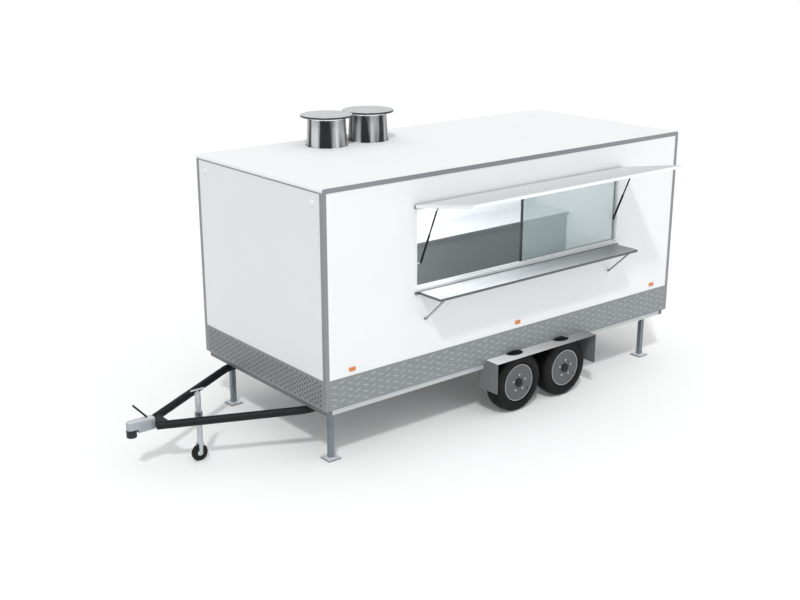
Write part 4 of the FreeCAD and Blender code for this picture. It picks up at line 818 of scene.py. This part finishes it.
def checker_lugs():
    """Lugs on the four skirts and on the door's kick plate: painted lighter than their plate on the long
    skirts as painted highlight, darker on the end skirts and the door as painted shade.
    """
    highlit_lugs_finish = plate_finish("raised_lugs_painted_highlight", LUG_PAINTED_HIGHLIGHT)
    highlit_lugs_finish.set("Metallic", 0.35)
    shaded_lugs_finish = plate_finish("end_lugs_painted_shade", LUG_PAINTED_SHADE)
    skirt_length = skirt_high.x - skirt_low.x
    skirt_height = skirt_high.z - skirt_low.z
    for name, y, normal in (("serving", skirt_low.y, -Y_AXIS), ("far", skirt_high.y, Y_AXIS)):
        mesh = lug_field(Vector((skirt_low.x, y, skirt_low.z)), X_AXIS, normal,
                         skirt_length, skirt_height, SIDE_LUGS, clear_of_wheels)
        add_piece(f"plate_lugs_{name}", mesh, highlit_lugs_finish, "trailer")
    kick_low, kick_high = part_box("door_kick_plate")
    end_width = body_high.y - body_low.y - TRIM_LEG * 2

    def beside_door(y, z):
        reach = END_LUGS["length"] / 2 + 0.02
        place = body_low.y + TRIM_LEG + y
        outside = place < kick_low.y - reach or place > kick_high.y + reach
        behind_lamp = abs(abs(place - body_middle_y) - REAR_LAMP_Y) < REAR_LAMP_HALF + reach
        return (outside or skirt_low.z + z < kick_low.z - reach) and not behind_lamp

    for name, x, normal, allowed in (("front", skirt_low.x, -X_AXIS, lambda y, z: True),
                                     ("rear", skirt_high.x, X_AXIS, beside_door)):
        mesh = lug_field(Vector((x, body_low.y + TRIM_LEG, skirt_low.z)), Y_AXIS, normal,
                         end_width, skirt_height, END_LUGS, allowed)
        add_piece(f"plate_lugs_{name}", mesh, shaded_lugs_finish, "trailer")
    mesh = lug_field(Vector((kick_high.x, kick_low.y, kick_low.z)), Y_AXIS, X_AXIS,
                     kick_high.y - kick_low.y, kick_high.z - kick_low.z, END_LUGS, lambda y, z: True)
    add_piece("plate_lugs_door", mesh, shaded_lugs_finish, "rear_door")


checker_lugs()


# A rolled rim on each vent's shell and a collar of fine pale mesh above it, in metres.
COLLAR_WALL = 0.002
COLLAR_INSET = 0.002
COLLAR_STEPS = 96
COLLAR_WIRES = 0.0045
# The mesh collars glow though they are no lamp: painted light.
COLLAR_PAINTED_GLOW = 0.6


def glowing_collar_finish():
    """Woven wire that keeps insects out, made to glow: painted light that keeps it bright in the shade
    under the cap.
    """
    finish = Finish("vent_mesh", "F0F3F5", 0.4, 0.1)
    along = finish.math("SINE", finish.math("MULTIPLY", finish.axes()[2], math.tau / COLLAR_WIRES))
    finish.toned(finish.between(along, -1, 1), 0.9, 1.02)
    finish.rough(finish.noise(60, 3), 0.34, 0.46)
    finish.bump(along, 0.0004, 0.4)
    finish.set("Emission Color", (1, 1, 1, 1))
    finish.set("Emission Strength", COLLAR_PAINTED_GLOW)
    return finish


def vent_collar(name, x, outer, bottom, top, finish):
    """A thin upright ring on one vent."""
    low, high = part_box("roof_vents")
    section = ((outer, bottom), (outer, top), (outer - COLLAR_WALL, top), (outer - COLLAR_WALL, bottom))
    mesh = bmesh.new()
    rings = []
    for radius, z in section:
        turns = [math.tau * step / COLLAR_STEPS for step in range(COLLAR_STEPS)]
        rings.append([mesh.verts.new((x + radius * math.cos(turn), (low.y + high.y) / 2
                                      + radius * math.sin(turn), z)) for turn in turns])
    for ring, after in zip(rings, rings[1:] + rings[:1]):
        for step in range(COLLAR_STEPS):
            following = (step + 1) % COLLAR_STEPS
            mesh.faces.new((ring[step], ring[following], after[following], after[step]))
    bmesh.ops.recalc_face_normals(mesh, faces=mesh.faces)
    add_piece(name, mesh, finish, "trailer")


def vent_collars():
    """The shells' rims, and mesh collars between them and the caps."""
    low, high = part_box("roof_vents")
    cap_radius = (high.y - low.y) / 2
    top = high.z - CAP_THICKNESS
    bottom = top - VENT_GAP
    glowing_mesh_finish = glowing_collar_finish()
    for index, x in enumerate((low.x + cap_radius, high.x - cap_radius)):
        vent_collar(f"vent_rim_{index + 1}", x, VENT_TOP_RADIUS, bottom, bottom + VENT_RIM,
                    finishes["roof_vents"])
        vent_collar(f"vent_mesh_{index + 1}", x, VENT_TOP_RADIUS - COLLAR_INSET, bottom + VENT_RIM, top,
                    glowing_mesh_finish)


vent_collars()


# Small round-headed rivets, in metres.
RIVET_RADIUS = 0.0045
RIVET_HEIGHT = 0.0018
RIVET_SIDES = 10
RIVET_PITCH = 0.24


def add_rivet(mesh, centre, normal):
    """A low dome on a face."""
    side = normal.orthogonal().normalized()
    other = normal.cross(side)
    rings = []
    for radius_share, rise_share in ((1.0, 0.0), (0.86, 0.5), (0.5, 0.87)):
        ring = []
        for step in range(RIVET_SIDES):
            angle = math.tau * step / RIVET_SIDES
            out = side * math.cos(angle) + other * math.sin(angle)
            ring.append(mesh.verts.new(centre + out * (RIVET_RADIUS * radius_share)
                                       + normal * (RIVET_HEIGHT * rise_share)))
        rings.append(ring)
    for first, second in zip(rings, rings[1:]):
        for step in range(RIVET_SIDES):
            after = (step + 1) % RIVET_SIDES
            mesh.faces.new((first[step], first[after], second[after], second[step]))
    tip = mesh.verts.new(centre + normal * RIVET_HEIGHT)
    for step in range(RIVET_SIDES):
        mesh.faces.new((rings[-1][step], rings[-1][(step + 1) % RIVET_SIDES], tip))


def rivet_row(mesh, start, end, normal):
    """Evenly spaced rivets between two places."""
    count = max(2, round((end - start).length / RIVET_PITCH) + 1)
    for index in range(count):
        add_rivet(mesh, start.lerp(end, index / (count - 1)), normal)


def trim_rivets():
    """Rivets along the roof strips, the corner angles and the tops of the skirts."""
    trim_low, trim_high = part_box("edge_trims")
    mesh = bmesh.new()
    inset = 0.02
    strip_z = trim_high.z - 0.025
    corner_x = (trim_low.x + 0.022, trim_high.x - 0.022)
    for y, normal in ((trim_low.y, -Y_AXIS), (trim_high.y, Y_AXIS)):
        rivet_row(mesh, Vector((corner_x[0] + TRIM_LEG, y, strip_z)),
                  Vector((corner_x[1] - TRIM_LEG, y, strip_z)), normal)
        rivet_row(mesh, Vector((skirt_low.x + TRIM_LEG + inset, y, skirt_high.z - 0.008)),
                  Vector((skirt_high.x - TRIM_LEG - inset, y, skirt_high.z - 0.008)), normal)
        for x in corner_x:
            rivet_row(mesh, Vector((x, y, skirt_low.z + inset)), Vector((x, y, strip_z - 0.06)), normal)
    corner_y = (trim_low.y + 0.022, trim_high.y - 0.022)
    for x, normal in ((trim_low.x, -X_AXIS), (trim_high.x, X_AXIS)):
        for y in corner_y:
            rivet_row(mesh, Vector((x, y, skirt_low.z + inset)), Vector((x, y, strip_z - 0.06)), normal)
    add_piece("trim_rivets", mesh, finishes["edge_trims"], "trailer", sharp_angle=60)


trim_rivets()


def rectangle(axis, place, first_low, first_high, second_low, second_high):
    """Four corners of an upright rectangle that lies across an axis."""
    corners = ((first_low, second_low), (first_high, second_low),
               (first_high, second_high), (first_low, second_high))
    if axis == "x":
        return [Vector((place, first, second)) for first, second in corners]
    return [Vector((first, place, second)) for first, second in corners]


# Rubber seals, in metres.
SEAL_RADIUS = 0.0022
seal_finish = rubber_finish("seal_rubber", "1D1F20")


def seals():
    """Seals round the panes and along the edge of the rear door."""
    pane_low, pane_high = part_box("window_panes")
    for index, y in enumerate((pane_low.y, pane_high.y)):
        add_strip(f"pane_seal_{index + 1}",
                  rectangle("y", y, pane_low.x, pane_high.x, pane_low.z, pane_high.z),
                  SEAL_RADIUS, seal_finish, "trailer")
    door_low, door_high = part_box("rear_door")
    leaf_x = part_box("rear_wall")[1].x
    kick_low, kick_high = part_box("door_kick_plate")
    add_strip("door_seal", rectangle("x", leaf_x, kick_low.y, kick_high.y, door_low.z, door_high.z),
              SEAL_RADIUS, seal_finish, "rear_door")


seals()


# The valves' distance from the wheel's middle, in metres, and their angle, in radians.
VALVE_CIRCLE = 0.16
VALVE_TURN = 2.2
VALVE_SIDES = 14
SMALLEST_RADIUS = 0.0001


def valve_stems():
    """A rubber valve with its cap on each disc wheel."""
    for name in sorted(nodes):
        if not name.startswith("rim_"):
            continue
        low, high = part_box(name)
        middle = (low + high) / 2
        outward = -1 if middle.y < body_middle_y else 1
        face_y = (low.y if outward < 0 else high.y) - outward * HUB_CAP_HEIGHT
        centre = Vector((middle.x + VALVE_CIRCLE * math.sin(VALVE_TURN), face_y,
                         middle.z + VALVE_CIRCLE * math.cos(VALVE_TURN)))
        section = ((-0.002, 0.0), (-0.002, 0.0065), (0.002, 0.0065), (0.006, 0.0045),
                   (0.009, 0.0045), (0.0095, 0.0055), (0.0125, 0.005), (0.0128, 0.0))
        mesh = bmesh.new()
        rings = [(across, [max(radius, SMALLEST_RADIUS)] * VALVE_SIDES) for across, radius in section]
        turned(mesh, rings, centre, outward)
        bmesh.ops.recalc_face_normals(mesh, faces=mesh.faces)
        add_piece(name.replace("rim", "valve"), mesh, seal_finish, name.replace("rim", "wheel"),
                  sharp_angle=50)


valve_stems()


FLOOR_SIZE = 240
FLOOR_LIFT = 0.06


def stage():
    """A pale floor that stays white to the camera, apart from the object's shadow."""
    bpy.ops.mesh.primitive_plane_add(size=FLOOR_SIZE, location=(0, 0, 0))
    floor = bpy.context.object
    floor.name = "studio_floor"
    finish = Finish("studio_floor", "F9FAFA", 0.9, specular=0.1)
    finish.toned(finish.noise(0.6, 2), 0.995, 1.0)
    camera_ray = finish.add("ShaderNodeLightPath").outputs["Is Camera Ray"]
    seen = finish.math("MULTIPLY", camera_ray, FLOOR_LIFT)
    finish.set("Emission Color", (1, 1, 1, 1))
    finish.link(seen, finish.shader.inputs["Emission Strength"])
    floor.data.materials.append(finish.material)


stage()

# Light. The direction is in the row's frame, the softness in degrees. The cards are bright and
# dark in turn round the object, with one bright card overhead.
SUN_TRAVEL = Vector((0.34, 0.35, -0.58))
SUN_STRENGTH = 1.08
SUN_SOFTNESS = 4.5
WORLD_LEVEL = 0.68
SERVING_GLOW = 0.52
FRONT_SHADE = 0.3
OVERHEAD_GLOW = 0.38
CARD_COUNT = 6
CARD_MIDDLE = 0.7
CARD_SWING = 0.3
OVERHEAD_CARD = 0.95
OVERHEAD_CARD_RANGE = (0.45, 0.75)


def add_sun():
    light = bpy.data.lights.new("key_sun", "SUN")
    light.energy = SUN_STRENGTH
    light.angle = math.radians(SUN_SOFTNESS)
    sun = bpy.data.objects.new("key_sun", light)
    sun.rotation_mode = "QUATERNION"
    sun.rotation_quaternion = SUN_TRAVEL.to_track_quat("-Z", "Y")
    scene.collection.objects.link(sun)


# Lamps inside the body: watts, and how far they keep from the walls and the roof, in metres.
CEILING_LAMP_POWER = 12
UPWARD_LAMP_POWER = 6
END_LAMP_POWER = 76
LAMP_MARGIN = 0.45
LAMP_DROP = 0.12


def add_inside_lamp(name, place, length, width, power, towards):
    """A large soft lamp that lights the room and isn't seen itself."""
    light = bpy.data.lights.new(name, "AREA")
    light.shape = "RECTANGLE"
    light.size = length
    light.size_y = width
    light.energy = power
    lamp = bpy.data.objects.new(name, light)
    lamp.location = place
    lamp.rotation_mode = "QUATERNION"
    lamp.rotation_quaternion = towards.to_track_quat("-Z", "Y")
    lamp.visible_camera = False
    lamp.visible_glossy = False
    scene.collection.objects.link(lamp)


def add_inside_lamps():
    """Lamps down from the ceiling, up from over the counter, and from the front wall to the rear."""
    length = body_high.x - body_low.x - LAMP_MARGIN * 2
    width = body_high.y - body_low.y - LAMP_MARGIN * 2
    middle_x = (body_low.x + body_high.x) / 2
    ceiling = body_low.z - LAMP_DROP
    counter_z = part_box("worktop")[1].z
    middle_z = (counter_z + ceiling) / 2
    add_inside_lamp("room_light", (middle_x, body_middle_y, ceiling), length, width,
                    CEILING_LAMP_POWER, -Z_AXIS)
    add_inside_lamp("room_fill", (middle_x, body_middle_y, middle_z), length, width,
                    UPWARD_LAMP_POWER, Z_AXIS)
    add_inside_lamp("room_end", (body_low.x + LAMP_MARGIN, body_middle_y, middle_z), width,
                    ceiling - counter_z, END_LAMP_POWER, X_AXIS)


def add_world():
    """White behind the object, a soft glow on it, and even studio cards for metal to mirror."""
    world = bpy.data.worlds.new("studio")
    world.use_nodes = True
    scene.world = world
    tree = world.node_tree
    tree.nodes.clear()

    def add(kind, **values):
        node = tree.nodes.new(kind)
        for name, value in values.items():
            setattr(node, name, value)
        return node

    def combine(operation, first, second, clamp=False):
        node = add("ShaderNodeMath", operation=operation, use_clamp=clamp)
        for index, value in enumerate((first, second)):
            if isinstance(value, (int, float)):
                node.inputs[index].default_value = value
            else:
                tree.links.new(value, node.inputs[index])
        return node.outputs[0]

    direction = add("ShaderNodeSeparateXYZ")
    tree.links.new(add("ShaderNodeTexCoord").outputs["Generated"], direction.inputs[0])
    x, y, z = direction.outputs
    towards_serving = combine("MAXIMUM", combine("MULTIPLY", y, -1.0), 0.0)
    towards_front = combine("MAXIMUM", combine("MULTIPLY", x, -1.0), 0.0)
    glow = combine("ADD", WORLD_LEVEL, combine("MULTIPLY", towards_serving, SERVING_GLOW))
    glow = combine("SUBTRACT", glow, combine("MULTIPLY", towards_front, FRONT_SHADE))
    glow = combine("ADD", glow, combine("MULTIPLY", combine("MAXIMUM", z, 0.0), OVERHEAD_GLOW))

    turns = combine("MULTIPLY", combine("ARCTAN2", y, x), CARD_COUNT)
    cards = combine("ADD", combine("MULTIPLY", combine("SINE", turns, 0.0), CARD_SWING), CARD_MIDDLE)
    overhead = add("ShaderNodeMapRange")
    tree.links.new(z, overhead.inputs["Value"])
    overhead.inputs["From Min"].default_value = OVERHEAD_CARD_RANGE[0]
    overhead.inputs["From Max"].default_value = OVERHEAD_CARD_RANGE[1]
    mirrored = add("ShaderNodeMix", data_type="FLOAT")
    tree.links.new(overhead.outputs["Result"], mirrored.inputs["Factor"])
    tree.links.new(cards, mirrored.inputs["A"])
    mirrored.inputs["B"].default_value = OVERHEAD_CARD

    paths = add("ShaderNodeLightPath")
    for_gloss = add("ShaderNodeMix", data_type="FLOAT")
    tree.links.new(paths.outputs["Is Glossy Ray"], for_gloss.inputs["Factor"])
    tree.links.new(glow, for_gloss.inputs["A"])
    tree.links.new(mirrored.outputs["Result"], for_gloss.inputs["B"])
    seen = add("ShaderNodeMix", data_type="FLOAT")
    tree.links.new(paths.outputs["Is Camera Ray"], seen.inputs["Factor"])
    tree.links.new(for_gloss.outputs["Result"], seen.inputs["A"])
    seen.inputs["B"].default_value = 1.0
    background = add("ShaderNodeBackground")
    tree.links.new(seen.outputs["Result"], background.inputs["Strength"])
    output = add("ShaderNodeOutputWorld")
    tree.links.new(background.outputs[0], output.inputs["Surface"])


add_sun()
add_inside_lamps()
add_world()

# Camera, worked out from the photograph: its place from the body's front serving-side corner
# on the ground, in metres, its angles in degrees and its lens in millimetres.
CAMERA_OFFSET = Vector((-5.8222, -8.2538, 4.9189))
CAMERA_AZIMUTH = 39.129
CAMERA_ELEVATION = 17.631
CAMERA_LENS = 52.14
CAMERA_SENSOR = 36.0
CAMERA_REACH = 500


def add_camera():
    data = bpy.data.cameras.new("camera")
    data.lens = CAMERA_LENS
    data.sensor_width = CAMERA_SENSOR
    data.sensor_fit = "HORIZONTAL"
    data.clip_end = CAMERA_REACH
    camera = bpy.data.objects.new("camera", data)
    scene.collection.objects.link(camera)
    scene.camera = camera
    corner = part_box("serving_wall")[0]
    azimuth = math.radians(CAMERA_AZIMUTH)
    elevation = math.radians(CAMERA_ELEVATION)
    ahead = Vector((math.sin(azimuth) * math.cos(elevation),
                    math.cos(azimuth) * math.cos(elevation), -math.sin(elevation)))
    camera.location = Vector((corner.x, corner.y, 0)) + CAMERA_OFFSET
    camera.rotation_mode = "QUATERNION"
    camera.rotation_quaternion = ahead.to_track_quat("-Z", "Y")


add_camera()
scene.view_settings.view_transform = "Standard"
